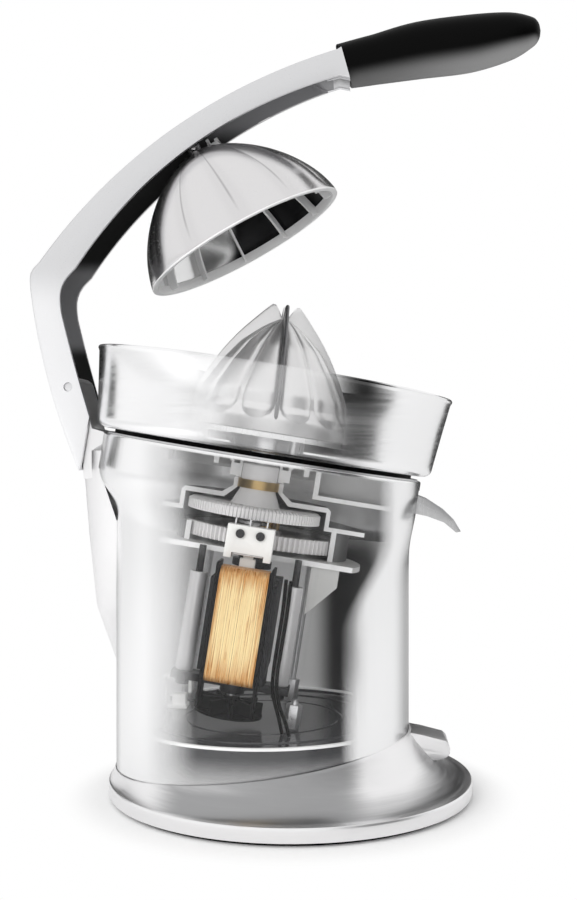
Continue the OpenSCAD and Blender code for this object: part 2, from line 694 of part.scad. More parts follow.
module big_gear() {
    color("#bdbeb8") at_counter(big_top - big_w) difference() {
        union() {
            rotate(big_turn) outer_gear(big_teeth, big_w);
        }
        translate([0, 0, -5]) cylinder(r = counter_r + eps, h = 40);
        translate([0, 0, big_w - 2]) difference() {
            cylinder(r = big_out - 6, h = 5);
            translate([0, 0, -1]) cylinder(r = 10.5, h = 9);
        }
        translate([0, 0, -3]) difference() {
            cylinder(r = big_out - 6, h = 5);
            translate([0, 0, -1]) cylinder(r = 10, h = 9);
        }
    }
}
module countershaft() {
    color("#a5a8ad") at_counter(plate_top - 8) cylinder(r = counter_r, h = gear_top - 3 - press - plate_top + 8);
}

/* Motor */
stack_top = -66;
fan_w = -144;
module motor_shaft() {
    color("#aeb0b5") at_motor(fan_w + 1) cylinder(r = motor_shaft_r, h = big_top - 0.5 - fan_w - 1);
}
module motor_pinion() {
    color("#c9a04a") at_motor(big_top - big_w - 0.5) difference() {
        rotate(motor_turn) outer_gear(motor_teeth, big_w + 0.8);
        translate([0, 0, -5]) cylinder(r = motor_shaft_r + eps, h = 40);
    }
}
module rotor() {
    color("#6d6f73") at_motor(stack_top - stack_h) difference() {
        union() {
            cylinder(r = rotor_r, h = stack_h);
            translate([0, 0, -2]) cylinder(r = rotor_r - 2, h = stack_h + 4);
        }
        translate([0, 0, -20]) cylinder(r = motor_shaft_r + eps, h = 100);
    }
}
fan_blades = 9;
module fan() {
    color("#131313") at_motor(fan_w) difference() {
        union() {
            cylinder(r = 5, h = 10);
            cylinder(r = 19, h = 1.2);
            for (i = [0:fan_blades - 1]) rotate(i * 360 / fan_blades) translate([3, -0.7, 0.5]) cube([15.5, 1.4, 8]);
        }
        translate([0, 0, -5]) cylinder(r = motor_shaft_r + eps, h = 100);
    }
}
coil_deep = 10;
coil_high = 31;
coil_v = -55.3;
coil_mid = -90.2;
leg_deep = 8;
arm_gap = coil_w / 2 + 1.8;
stack_half = rotor_r + 5;
module stator_core() {
    color("#3a3b3d") at_motor(stack_top - stack_h) difference() {
        linear_extrude(stack_h) difference() {
            translate([-stack_half, coil_v - motor_at.y - leg_deep / 2])
                square([2 * stack_half, 18.5 - coil_v + motor_at.y + leg_deep / 2]);
            translate([-arm_gap, coil_v - motor_at.y + leg_deep / 2]) square([2 * arm_gap, 7.5]);
            circle(r = rotor_r + air_gap);
        }
    }
}
module coil_bobbin() {
    color("#1d1d1f") at_motor(coil_mid) translate([0, coil_v - motor_at.y, 0]) difference() {
        union() {
            for (x = [-coil_w / 2 - 1.5, coil_w / 2]) translate([x, -coil_deep - 0.8, -44])
                cube([1.5, 2 * coil_deep + 1, 77]);
            rotate([90, 0, 90]) translate([0, 0, -coil_w / 2 - eps]) linear_extrude(coil_w + 2 * eps)
                racetrack(coil_deep - 2 * wire_r - 0.1, coil_high - 2 * wire_r - 0.1);
        }
        translate([-50, -leg_deep / 2 - 0.15, stack_top - stack_h - coil_mid - 0.15])
            cube([100, leg_deep + 0.3, stack_h + 0.3]);
    }
}
coil_corner = 5;
module racetrack(a, b) {
    polygon([for (k = [0:23]) race_point(k, a, b)]);
}
function race_point(k, a, b) =
    let (q = floor(k / 6) % 4, t = 90 * q + 18 * (k % 6), sx = q == 0 || q == 3 ? 1 : -1, sy = q < 2 ? 1 : -1)
    [sx * (a - coil_corner) + coil_corner * cos(t), sy * (b - coil_corner) + coil_corner * sin(t)];
race_rings = 24;
coil_pitch = (coil_w - 3) / coil_loops;
wire_at = function (i)
    let (k = i % race_rings, p = race_point(k, coil_deep - wire_r, coil_high - wire_r))
    [-coil_w / 2 + 1.5 + coil_pitch * i / race_rings, p.x, p.y];
wire_out = function (i)
    let (k = i % race_rings, t = 90 * (floor(k / 6) % 4) + 18 * (k % 6)) [0, cos(t), sin(t)];
wire_count = coil_loops * race_rings;
coil_gap = min([for (i = [0:wire_count - race_rings - 4]) for (j = [i + race_rings - 3:i + race_rings + 3])
    norm(wire_at(i) - wire_at(j))]) - 2 * wire_r;
echo(coil_gap = coil_gap);
wire_sides = 6;
module coil_winding() {
    ring_points = [for (i = [0:wire_count]) for (j = [0:wire_sides - 1])
        wire_at(i) + wire_r * (cos(60 * j) * wire_out(i) + sin(60 * j) * [1, 0, 0])];
    sides = [for (i = [0:wire_count - 1]) for (j = [0:wire_sides - 1])
        let (a = i * wire_sides + j, b = i * wire_sides + (j + 1) % wire_sides)
        each [[a, b, b + wire_sides], [a, b + wire_sides, a + wire_sides]]];
    last = wire_count * wire_sides;
    ends = [for (j = [1:wire_sides - 2]) each [[0, j + 1, j], [last, last + j, last + j + 1]]];
    color("#d8922f") at_motor(coil_mid) translate([0, coil_v - motor_at.y, 0])
        polyhedron(points = ring_points, faces = concat(sides, ends));
}
sleeve_low = -125;
module motor_sleeves() {
    color("#cfd2d6") on_axis() for (x = sleeve_u) translate([x, sleeve_v, sleeve_low]) difference() {
        cylinder(r = sleeve_r, h = plate_top - cast_wall - 12 - sleeve_low);
        translate([0, 0, -5]) cylinder(r = 2.2, h = 100);
    }
}
module sleeve_bolts() {
    color("#7c7e82") on_axis() for (x = sleeve_u) translate([x, sleeve_v, 0]) {
        translate([0, 0, sleeve_low - 8]) cylinder(r = 2, h = plate_top - sleeve_low + 8);
        translate([0, 0, sleeve_low - 8]) cylinder(r = 3.8, h = 3.8, $fn = 6);
    }
}
module motor_bracket() {
    color("#2b2c2e") on_axis() {
        difference() {
            union() {
                translate([sleeve_u[0] - 6, sleeve_v - 9, sleeve_low - 4])
                    cube([sleeve_u[1] - sleeve_u[0] + 12, 14, 4]);
                for (x = [-15.6, 15.6]) for (y = [-3, 8]) translate([motor_at.x + x, sleeve_v + y - 4.5, sleeve_low - 1])
                    cylinder(r = 2.2, h = stack_top - stack_h - sleeve_low + 1);
                translate([motor_at.x, motor_at.y, sleeve_low - 7]) cylinder(r = 7, h = 8);
            }
            translate([motor_at.x, motor_at.y, -200]) cylinder(r = motor_shaft_r + fit_gap, h = 120);
            for (x = sleeve_u) translate([x, sleeve_v, -200]) cylinder(r = 2.2, h = 120);
        }
        // upper bearing holder under the plate
        translate([motor_at.x, motor_at.y, plate_top - cast_wall - 4.05]) difference() {
            union() {
                cylinder(r = 11, h = 4);
                cylinder(r = 8.3, h = 6.5);
            }
            translate([0, 0, -5]) cylinder(r = motor_shaft_r + fit_gap, h = 30);
        }
    }
}

/* Switch and wiring */
switch_at = [3.6, -45.2];
switch_w = -55.5;
module microswitch() {
    color("#eceae4") on_axis(switch_w) translate([switch_at.x, switch_at.y, 0]) difference() {
        union() {
            translate([-12.8, -5, 3]) cube([25.6, 10, 15]);
            translate([-12.8, -5, 0]) cube([4, 10, 18]);
            translate([8.8, -5, 0]) cube([4, 10, 18]);
        }
        for (x = [-5.5, 5.5]) translate([x, 20, 13.6]) rotate([90, 0, 0]) cylinder(r = 1.6, h = 40);
    }
}
module switch_screws() {
    color("#2a2a2b") on_axis(switch_w) translate([switch_at.x, switch_at.y, 13.6]) for (x = [-5.5, 5.5])
        translate([x, 8.5, 0]) rotate([90, 0, 0]) {
            cylinder(r = 1.5, h = 13.6);
            translate([0, 0, 13.52]) cylinder(r = 2.4, h = 1.2);
        }
}
module switch_pins() {
    color("#c9ccd0") on_axis(switch_w) for (x = [-9.5, -1.5, 7.8])
        translate([switch_at.x + x, switch_at.y - 1.5, 18]) cube([0.8, 3, 3.5]);
}
module switch_lever() {
    color("#b9bcc1") on_axis(switch_w) translate([switch_at.x - 8.3, switch_at.y - 3, 1.9]) cube([16.6, 6, 0.8]);
}
module switch_plunger() {
    color("#f6f5f0") on_axis(switch_w) translate([switch_at.x - 4, switch_at.y + 0.8, -4.9]) {
        cube([8.5, 3.8, 5]);
        translate([1.5, 0.4, 4.5]) cube([5.5, 3, 2]);
    }
}
// A tube of short rods and balls along chosen points
module lead(points, r) {
    for (i = [0:len(points) - 2]) {
        d = points[i + 1] - points[i];
        translate(points[i]) rotate([0, acos(d.z / norm(d)), atan2(d.y, d.x)]) cylinder(r = r, h = norm(d), $fn = 16);
        if (i > 0) translate(points[i]) sphere(r = r * 1.06, $fn = 16);
    }
}
lead_r = 1;
lead_end = 0.35;
module switch_wires() {
    color("#0e0e0f") on_axis() {
        lead([
            [26.6, -54, -62], [27.4, -54, -80], [27.4, -52, -112], [29, -48, -125], [34, -45, deck_w(34) + 9],
            [37, -44, deck_w(37) + lead_end]
        ], lead_r);
        lead([
            [29.4, -57, -62], [30, -57, -82], [30, -56, -114], [33, -54, -128], [38, -50.5, deck_w(38) + 8],
            [41, -49, deck_w(41) + lead_end]
        ], lead_r);
    }
}
module terminal_bracket() {
    color("#dcdcd8") on_body(deck_z + 0.02) translate([21.5 - deck_r, 18, 0]) {
        cube([14, 12, 2]);
        cube([2, 12, 20]);
        translate([0, 0, 18]) cube([17, 12, 2]);
        translate([15, 0, 9.5]) cube([2, 12, 10]);
        translate([5, 2, 2 - eps]) cube([8, 8, 6]);
    }
}
// Height of the deck in the leaning frame, at a distance u from its axis
function deck_w(u) = (deck_z - top_z + u * sin(lean)) / cos(lean);
module tie_rods() {
    color("#9fa2a7") on_axis() for (p = tie_at) translate([p.x, p.y, 0]) {
        foot = deck_w(p.x) + 1.2;
        translate([0, 0, foot]) cylinder(r = 4.6, h = 13, $fn = 6);
        translate([0, 0, foot + 12]) cylinder(r = 2, h = plate_top - 0.2 - foot - 12);
    }
}

/* Arm, in the raised position */
tail = [-119, 184.7];
heel = [-146.5, 283];
knee = [-147.4, 295];
knee_top = [-142, 303];
tip_top = [27.3, 424];
tip_low = [35.3, 407];
lip_low = [-112.8, 214.9];
lip_knee = [-129.2, 276];
lip_knee_top = [-127.9, 290.4];
lip_tip = [28.4, 408.4];
module arm_outline(inset) {
    polygon(concat(
        inset > 0 ? [[-113, 176]] : [],
        arc(tail, [-137, 236], heel, 8, inset),
        inset > 0 ? [] : [knee],
        arc(knee_top, [-79, 368.5], [26.6, 422.7], 16, inset),
        inset > 0 ? [[26, 380], [-60, 320], [-95, 260], [-90, 176]] : concat(
            [tip_top, tip_low],
            arc(lip_tip, [-61.3, 363.2], [-120.8, 299.3], 16, 0),
            arc(lip_knee_top, [-129.8, 284], lip_knee, 4, 0),
            arc([-128.8, 273], [-121.5, 245], lip_low, 6, 0)
        )
    ));
}
module arm_plan(inset) {
    low = arm_w / 2 - inset;
    mid = (arm_w * 0.6 + arm_tip_w * 0.4) / 2 + 0.4 - inset;
    end = arm_tip_w / 2 - inset;
    translate([0, 0, 100]) linear_extrude(400)
        polygon([[-170, -low], [-95, -low], [-40, -mid], [45, -end], [45, end], [-40, mid], [-95, low], [-170, low]]);
}
module tang(gap) {
    translate([tip_top.x, 0, 418]) rotate([0, -11, 0]) translate([-5, -5 - gap, -7 - gap])
        cube([44 + gap, 10 + 2 * gap, 14 + 2 * gap]);
}
module arm() {
    color("#c8c9cc") at_rear() difference() {
        union() {
            intersection() {
                side(arm_w) arm_outline(0);
                arm_plan(0);
            }
            tang(0);
        }
        difference() {
            intersection() {
                side(arm_w) arm_outline(arm_wall + 0.5);
                arm_plan(arm_wall);
            }
            translate([20, -50, 300]) cube([40, 100, 200]);
        }
        translate(hinge_at) rotate([90, 0, 0]) translate([0, 0, -60]) cylinder(r = hinge_r + eps, h = 120);
        translate(swivel_at) rotate([90, 0, 0]) translate([0, 0, -swivel_half]) cylinder(r = swivel_r, h = 2 * swivel_half);
    }
}
grip_x = [31, 48, 73, 102.5, 125.5, 137.5, 143];
grip_z = [417.6, 421, 425.8, 429.2, 433, 435.2, 436];
grip_high = [12, 13.6, 15.5, 15.6, 12.8, 8.4, 3.4];
grip_wide = [12.2, 13.6, 15, 15.6, 14, 10, 4];
module grip_slice(i) {
    stretch = grip_len / (grip_x[6] - grip_x[0]);
    translate([grip_x[0] + (grip_x[i] - grip_x[0]) * stretch, 0, grip_z[i]]) rotate([0, i == 0 ? 69 : 84, 0])
        scale([grip_high[i], grip_wide[i], 1]) cylinder(r = 1, h = 0.4, $fn = 32);
}
module grip() {
    color("#17181a") at_rear() difference() {
        for (i = [0:5]) hull() {
            grip_slice(i);
            grip_slice(i + 1);
        }
        tang(0.05);
        side(60) polygon([[0, 380], [0, 450], tip_top + [-3.2, 8], tip_top + [0.2, 0], tip_low + [0.2, 0], tip_low + [8.5, -20]]);
    }
}

/* Press dome */
rim_at = [-26, 315.8];
dome_dir = [sin(dome_lean), cos(dome_lean)];
swivel_up = dome_h + 5;
swivel_half = 18.4;
swivel_boss = 4;
swivel_at = [rim_at.x + swivel_up * dome_dir.x, 0, rim_at.y + swivel_up * dome_dir.y];
module on_dome(t = 0) translate([rim_at.x, 0, rim_at.y]) rotate([0, dome_lean, 0]) translate([0, 0, t]) children();
module swivel_pin() {
    color("#8a8c90") at_rear() translate(swivel_at) rotate([90, 0, 0]) translate([0, 0, -swivel_half + 0.1])
        cylinder(r = swivel_r - eps, h = 2 * swivel_half - 0.2);
}
dome_full = 1.25;
rib_turn = 5;
clip = [7, 8, 9.5];
function bowl_curve(r, h, n) = [for (i = [0:n]) [r * pow(cos(90 * i / n), dome_full), h * pow(sin(90 * i / n), dome_full)]];
module dome() {
    color("#c3c4c6") at_rear() difference() {
        union() {
            on_dome() rotate_extrude() polygon(concat(
                bowl_curve(dome_r, dome_h, 12),
                [[0, dome_h - dome_t]],
                [for (i = [11:-1:0]) bowl_curve(dome_r - dome_t, dome_h - dome_t, 12)[i]]
            ));
            on_dome() intersection() {
                rotate_extrude() polygon(concat(
                    bowl_curve(dome_r - dome_t + 0.8, dome_h - dome_t + 0.8, 12),
                    [for (i = [11:-1:0]) bowl_curve(dome_r - dome_t - 6, dome_h - dome_t - 6, 12)[i]]
                ));
                difference() {
                    for (i = [0:dome_ribs - 1]) rotate(360 * i / dome_ribs + rib_turn) translate([12, -0.8, 2.5])
                        cube([60, 1.6, dome_h]);
                    cylinder(r = 22, h = 100);
                }
            }
            on_dome(dome_h - 1.5) cylinder(r = swivel_boss, h = swivel_up - dome_h + 1.5);
            on_dome(dome_h - dome_t - 5) translate([8, -clip.y / 2, 0]) cube(clip);
            translate(swivel_at) rotate([90, 0, 0]) translate([0, 0, -6]) cylinder(r = swivel_boss, h = 12);
        }
        translate(swivel_at) rotate([90, 0, 0]) translate([0, 0, -60]) cylinder(r = swivel_r + fit_gap, h = 120);
    }
}

/* Bowl, filter and cone */
fin_turn = 9;
bowl_low = cover_top + gasket_h + 0.3 + 0.1;
module juice_bowl() {
    foot = bowl_foot_r - bowl_edge;
    color("#cdced0") on_axis(bowl_low) difference() {
        union() {
            rotate_extrude() polygon([
                [bowl_collar_r, 0], [foot, 0], [bowl_foot_r, bowl_edge], [bowl_r - 0.6, bowl_h - 2.2],
                [bowl_r, bowl_h - 1.6], [bowl_r, bowl_h - 0.4], [bowl_r - 0.5, bowl_h], [bowl_r - bowl_t - 0.6, bowl_h],
                [bowl_r - bowl_t - 0.6, bowl_h - 2.2], [bowl_foot_r - bowl_t, bowl_edge + 0.4], [foot - 0.5, bowl_t],
                [bowl_collar_r + bowl_t, bowl_t], [bowl_collar_r + bowl_t, bowl_collar_h], [bowl_collar_r, bowl_collar_h]
            ]);
            translate([outlet_u, 0, -5.5]) cylinder(r = outlet_r + bowl_t, h = 5.8);
        }
        translate([outlet_u, 0, -20]) cylinder(r = outlet_r, h = 40);
    }
}
filter_low = bowl_low + bowl_t + filter_up;
cone_low = filter_low + filter_t + press + run_gap;
module filter() {
    color("#b5b7ba") on_axis(filter_low) {
        difference() {
            linear_extrude(filter_t) difference() {
                circle(r = filter_r);
                circle(r = bowl_collar_r + bowl_t + 1);
                for (ring = [0, 1]) for (i = [0:slot_count - 1]) rotate((i + ring / 2) * 360 / slot_count)
                    translate([cone_r + 3 + ring * (slot_len + 5), -slot_w / 2]) square([slot_len, slot_w]);
            }
        }
        for (a = [0:120:240]) rotate(a + 60) translate([cone_r - 8, 0, -filter_up + 0.05]) cylinder(r = 3, h = filter_up);
        difference() {
            cylinder(r = filter_r, h = filter_rim);
            translate([0, 0, -1]) cylinder(r = filter_r - 1, h = 12);
        }
    }
}
function flower(r, dip) = [for (i = [0:petals * 24 - 1])
    let (a = 360 * i / (petals * 24)) r * (1 - dip * pow(abs(cos(a * petals * 2)), 3)) * [cos(a), sin(a)]];
cone_steps = [
    [0.12, 0.985], [0.3, 0.92], [0.5, 0.72], [0.68, 0.49], [0.8, 0.27], [0.88, 0.06]
];
module cone() {
    color("#c2c3c5") on_axis(cone_low) rotate(fin_turn) difference() {
        union() {
            cylinder(r = cone_r, h = cone_h * 0.06);
            translate([0, 0, cone_h * 0.06 - eps]) cylinder(r1 = cone_r, r2 = cone_r * 0.94, h = cone_h * 0.07);
            for (i = [0:4]) translate([0, 0, cone_h * cone_steps[i][0]])
                linear_extrude(cone_h * (cone_steps[i + 1][0] - cone_steps[i][0]) + eps, scale = cone_steps[i + 1][1] / cone_steps[i][1])
                    polygon(flower(cone_r * cone_steps[i][1], 0.11));
            for (a = [0, 90]) rotate(a) rotate([90, 0, 0]) translate([0, 0, -fin_t / 2]) linear_extrude(fin_t) polygon([
                [-cone_r * 0.98, 0], [-cone_r * 0.98, cone_h * 0.3], [-cone_r * 0.68, cone_h * 0.61],
                [-cone_r * 0.32, cone_h * 0.88], [-cone_r * 0.15, cone_h], [0, cone_h * 0.93], [cone_r * 0.15, cone_h],
                [cone_r * 0.32, cone_h * 0.88], [cone_r * 0.68, cone_h * 0.61], [cone_r * 0.98, cone_h * 0.3],
                [cone_r * 0.98, 0]
            ]);
        }
        // hollow underside
        translate([0, 0, -1]) cylinder(r = cone_r - cone_wall, h = 1 + cone_h * 0.06);
        translate([0, 0, cone_h * 0.06 - eps])
            cylinder(r1 = cone_r - cone_wall - 5, r2 = hub_out + 2, h = cone_h * 0.42);
        translate([0, 0, -1]) cylinder(r = hub_out, h = shaft_top - cone_low + 3);
    }
}
hub_out = 10;
module cone_hub() {
    color("#3b3c3e") on_axis(cone_low) difference() {
        cylinder(r = hub_out - 2 * eps, h = shaft_top - cone_low + 1.9);
        translate([0, 0, -1]) cylinder(r = shaft_r + fit_gap, h = shaft_top - cone_low + 1.3);
    }
}

/* Spout */
spout_at = [collar_r - 5, -9];
module spout() {
    color("#c6c7ca") on_axis() difference() {
        union() {
            side(spout_w) polygon([
                [collar_r - 3.5, -18], [collar_r + 6, -18.5], [collar_r + 16, -20.5], [collar_r + 23.5, -25],
                [collar_r + 26, -24], [collar_r + 21, -18], [collar_r + 14, -13], [collar_r + 5, -9],
                [collar_r - 2, -7.5], [collar_r - 7.5, -7], [collar_r - 7.5, -11]
            ]);
            translate([spout_at.x, 0, spout_at.y]) rotate([90, 0, 0]) translate([0, 0, -chute_w / 2 - 2])
                cylinder(r = spout_pin_r, h = chute_w + 4);
        }
        // the open trough
        side(spout_w - 2 * spout_t) polygon([
            [collar_r - 20, -18 + spout_t], [collar_r + 6, -18.5 + spout_t], [collar_r + 16, -20.5 + spout_t],
            [collar_r + 22, -24.1 + spout_t], [collar_r + 26, -30], [collar_r + 40, -30],
            [collar_r + 40, 5], [collar_r - 20, 5]
        ]);
    }
}

rubber_ring();
floor_plate();
floor_screws();
base_casting();
cord_gland();
power_paddle();
paddle_pin();
power_switch();
housing();
hinge_column();
column_screws();
top_cover();
cover_screws();
bowl_gasket();
shaft_seal();
gear_case();
mounting_plate();
case_screws();
shaft_bushes();
tie_rods();
motor_sleeves();
sleeve_bolts();
stator_core();
coil_bobbin();
coil_winding();
motor_bracket();
microswitch();
switch_screws();
switch_pins();
switch_lever();
switch_wires();
terminal_bracket();
hinge_pin();
hinge_bushes();
arm();
grip();
swivel_pin();
dome();
juice_bowl();
filter();
cone();
cone_hub();
thrust_plate();
output_gear();
drive_shaft();
big_gear();
small_pinion();
countershaft();
rotor();
motor_shaft();
motor_pinion();
fan();
switch_plunger();
spout();
bowl_seat_ring();
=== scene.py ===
import math

import bmesh
import bpy
import numpy as np
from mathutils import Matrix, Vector


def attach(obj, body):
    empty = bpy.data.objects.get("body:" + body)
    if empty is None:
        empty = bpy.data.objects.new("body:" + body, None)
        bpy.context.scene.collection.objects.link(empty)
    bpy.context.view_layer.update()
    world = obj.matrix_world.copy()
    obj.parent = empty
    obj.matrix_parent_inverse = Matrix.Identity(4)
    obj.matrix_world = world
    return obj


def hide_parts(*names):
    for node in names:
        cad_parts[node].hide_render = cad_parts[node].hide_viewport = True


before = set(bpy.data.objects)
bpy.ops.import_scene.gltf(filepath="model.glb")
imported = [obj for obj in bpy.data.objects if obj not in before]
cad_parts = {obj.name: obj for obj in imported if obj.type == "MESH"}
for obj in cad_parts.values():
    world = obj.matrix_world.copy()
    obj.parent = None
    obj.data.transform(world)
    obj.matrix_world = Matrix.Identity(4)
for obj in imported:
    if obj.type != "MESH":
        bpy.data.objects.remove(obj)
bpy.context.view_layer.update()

# Places and sizes in millimetres, in the row frame
AXIS_X = -16.0
TOP_Z = 192.5
LEAN = math.radians(9)
BODY_R = 84.0
COLLAR_R = 92.0
SEAM_Z = 27.0
SEAM_LEAN = math.radians(7.2)
DECK_Z = 42.0
BASE_R = 104.0
SHEET = 1.2
BOWL_LOW = 3.1
CONE_LOW = 13.8
CONE_R = 45.0
CONE_H = 75.0
CONE_TURN = 9.0
DOME_LEAN = math.radians(-28.6)
DOME_X, DOME_Z = -26.0, 315.8
DOME_TURN = math.radians(5)
HINGE = (-125.0, 232.0)

# Share of mirrored light on black plastic and rubber
DULL = 0.06
# How clear the clearest part of the housing and the rods is
MOST_CLEAR = 0.985


def whole_turn(steps):
    return np.linspace(0, 2 * math.pi, steps, endpoint=False)


def lean(u, v, w):
    """A point of the leaning frame of bowl, gears and motor, in the row frame."""
    return tilted(AXIS_X, TOP_Z, LEAN, u, v, w)


def on_dome(u, v, w):
    return tilted(DOME_X, DOME_Z, DOME_LEAN, u, v, w)


def tilted(at_x, at_z, angle, u, v, w):
    u, v, w = (np.asarray(part, float) for part in (u, v, w))
    c, s = math.cos(angle), math.sin(angle)
    return plain(at_x + u * c + w * s, v, at_z - u * s + w * c)


def plain(x, y, z):
    x, y, z = np.broadcast_arrays(np.asarray(x, float), np.asarray(y, float), np.asarray(z, float))
    return np.stack([x, y, z], -1)


# Materials
class Look:
    """A procedural material on a Principled shader."""

    def __init__(self, name, colour, metallic, roughness):
        self.mat = bpy.data.materials.new(name)
        self.mat.use_nodes = True
        self.tree = self.mat.node_tree
        self.shader = self.tree.nodes["Principled BSDF"]
        self.out = self.tree.nodes["Material Output"]
        self.set(self.shader, "Base Color", (*colour, 1))
        self.set(self.shader, "Metallic", metallic)
        self.set(self.shader, "Roughness", roughness)
        self.point = None
        self.bumps = None

    def set(self, node, socket, value):
        if hasattr(value, "links"):
            self.tree.links.new(value, node.inputs[socket])
        else:
            node.inputs[socket].default_value = value

    def node(self, kind, output=0, **values):
        made = self.tree.nodes.new(kind)
        for key, value in values.items():
            if key.startswith("in_"):
                name = key[3:]
                self.set(made, int(name) if name.isdigit() else name.replace("_", " "), value)
            else:
                setattr(made, key, value)
        return made.outputs[output]

    def here(self):
        if self.point is None:
            self.point = self.tree.nodes.new("ShaderNodeTexCoord").outputs["Object"]
        return self.point

    def stretched(self, scale):
        return self.node("ShaderNodeVectorMath", operation="MULTIPLY", in_0=self.here(), in_1=scale)

    def noise(self, scale, detail=3.0, rough=0.5, stretch=(1, 1, 1)):
        vector = self.stretched(stretch) if stretch != (1, 1, 1) else self.here()
        return self.noise_at(vector, scale, detail, rough)

    def noise_at(self, vector, scale, detail, rough):
        return self.node(
            "ShaderNodeTexNoise", in_Vector=vector, in_Scale=scale, in_Detail=detail, in_Roughness=rough,
        )

    def math(self, operation, a, b=0.0):
        return self.node("ShaderNodeMath", operation=operation, in_0=a, in_1=b)

    def times(self, a, b):
        return self.math("MULTIPLY", a, b)

    def plus(self, a, b):
        return self.math("ADD", a, b)

    def minus(self, a, b):
        return self.math("SUBTRACT", a, b)

    def reach(self, a, b):
        """Length of the vector with sides a and b."""
        return self.math("SQRT", self.plus(self.times(a, a), self.times(b, b)))

    def axes(self):
        """The object's own X, Y and Z, in metres."""
        return self.node("ShaderNodeSeparateXYZ", in_0=self.here()).node.outputs

    def join(self, x, y, z):
        return self.node("ShaderNodeCombineXYZ", in_0=x, in_1=y, in_2=z)

    def facing_up(self):
        """1 where the face looks up, -1 where it looks down."""
        normal = self.tree.nodes.new("ShaderNodeTexCoord").outputs["Normal"]
        return self.node("ShaderNodeSeparateXYZ", 2, in_0=normal)

    def ramp(self, value, low, high, to_low=0.0, to_high=1.0, smooth=True):
        return self.node(
            "ShaderNodeMapRange", interpolation_type="SMOOTHSTEP" if smooth else "LINEAR",
            in_Value=value, in_1=low, in_2=high, in_3=to_low, in_4=to_high,
        )

    def vary_roughness(self, value, low, high):
        self.set(self.shader, "Roughness", self.ramp(value, 0.3, 0.7, low, high, smooth=False))

    def vary_colour(self, value, dark, light, low=0.35, high=0.65):
        mix = self.tree.nodes.new("ShaderNodeMix")
        mix.data_type = "RGBA"
        self.set(mix, 0, self.ramp(value, low, high))
        mix.inputs[6].default_value = (*dark, 1)
        mix.inputs[7].default_value = (*light, 1)
        self.set(self.shader, "Base Color", mix.outputs[2])

    def bump(self, value, strength, distance):
        made = self.tree.nodes.new("ShaderNodeBump")
        self.set(made, "Height", value)
        made.inputs["Strength"].default_value = strength
        made.inputs["Distance"].default_value = distance
        if self.bumps is not None:
            self.tree.links.new(self.bumps, made.inputs["Normal"])
        self.bumps = made.outputs[0]
        self.set(self.shader, "Normal", self.bumps)

    def leaning(self):
        """Across, depth and height of a point in the leaning frame, in metres."""
        return self.turned(AXIS_X, TOP_Z, LEAN)

    def turned(self, at_x, at_z, angle):
        """The same for a frame at this place, in millimetres, that leans by this angle."""
        x, y, z = self.axes()
        x = self.plus(x, -at_x / 1000)
        z = self.plus(z, -at_z / 1000)
        c, s = math.cos(angle), math.sin(angle)
        across = self.minus(self.times(x, c), self.times(z, s))
        height = self.plus(self.times(x, s), self.times(z, c))
        return across, y, height

    def clear(self, share):
        """Lets light straight through where share is 1."""
        self.mixed(share, self.tree.nodes.new("ShaderNodeBsdfTransparent"))

    def mixed(self, share, other):
        """Another shader takes over where share is 1."""
        mix = self.tree.nodes.new("ShaderNodeMixShader")
        self.set(mix, 0, share)
        self.tree.links.new(self.shader.outputs[0], mix.inputs[1])
        self.tree.links.new(other.outputs[0], mix.inputs[2])
        self.tree.links.new(mix.outputs[0], self.out.inputs["Surface"])


def scaled(colour, factor):
    return tuple(min(1.0, c * factor) for c in colour)


def brushed(name, colour, roughness=0.3, along=(1, 1, 0.04), scale=900, depth=0.25):
    look = Look(name, colour, 1.0, roughness)
    grain = look.noise(scale, 2.0, 0.6, along)
    cloud = look.noise(14, 3.0, 0.55)
    look.vary_colour(cloud, scaled(colour, 0.95), scaled(colour, 1.03))
    look.vary_roughness(grain, roughness * 0.8, roughness * 1.25)
    look.bump(grain, depth, 0.00006)
    return look


def cast(name, colour, roughness=0.4, metallic=0.9, grain=0.3):
    look = Look(name, colour, metallic, roughness)
    fine = look.noise(2600, 2.0, 0.6)
    cloud = look.noise(18, 4.0, 0.5)
    look.vary_colour(cloud, scaled(colour, 0.96), scaled(colour, 1.02))
    look.vary_roughness(fine, roughness * 0.85, roughness * 1.15)
    look.bump(fine, grain, 0.00005)
    return look


def moulded(name, colour, roughness=0.45, grain=0.25):
    look = Look(name, colour, 0.0, roughness)
    fine = look.noise(1800, 3.0, 0.6)
    cloud = look.noise(30, 3.0, 0.5)
    look.vary_colour(cloud, scaled(colour, 0.93), scaled(colour, 1.03))
    look.vary_roughness(fine, roughness * 0.85, roughness * 1.2)
    look.bump(fine, grain, 0.00006)
    return look


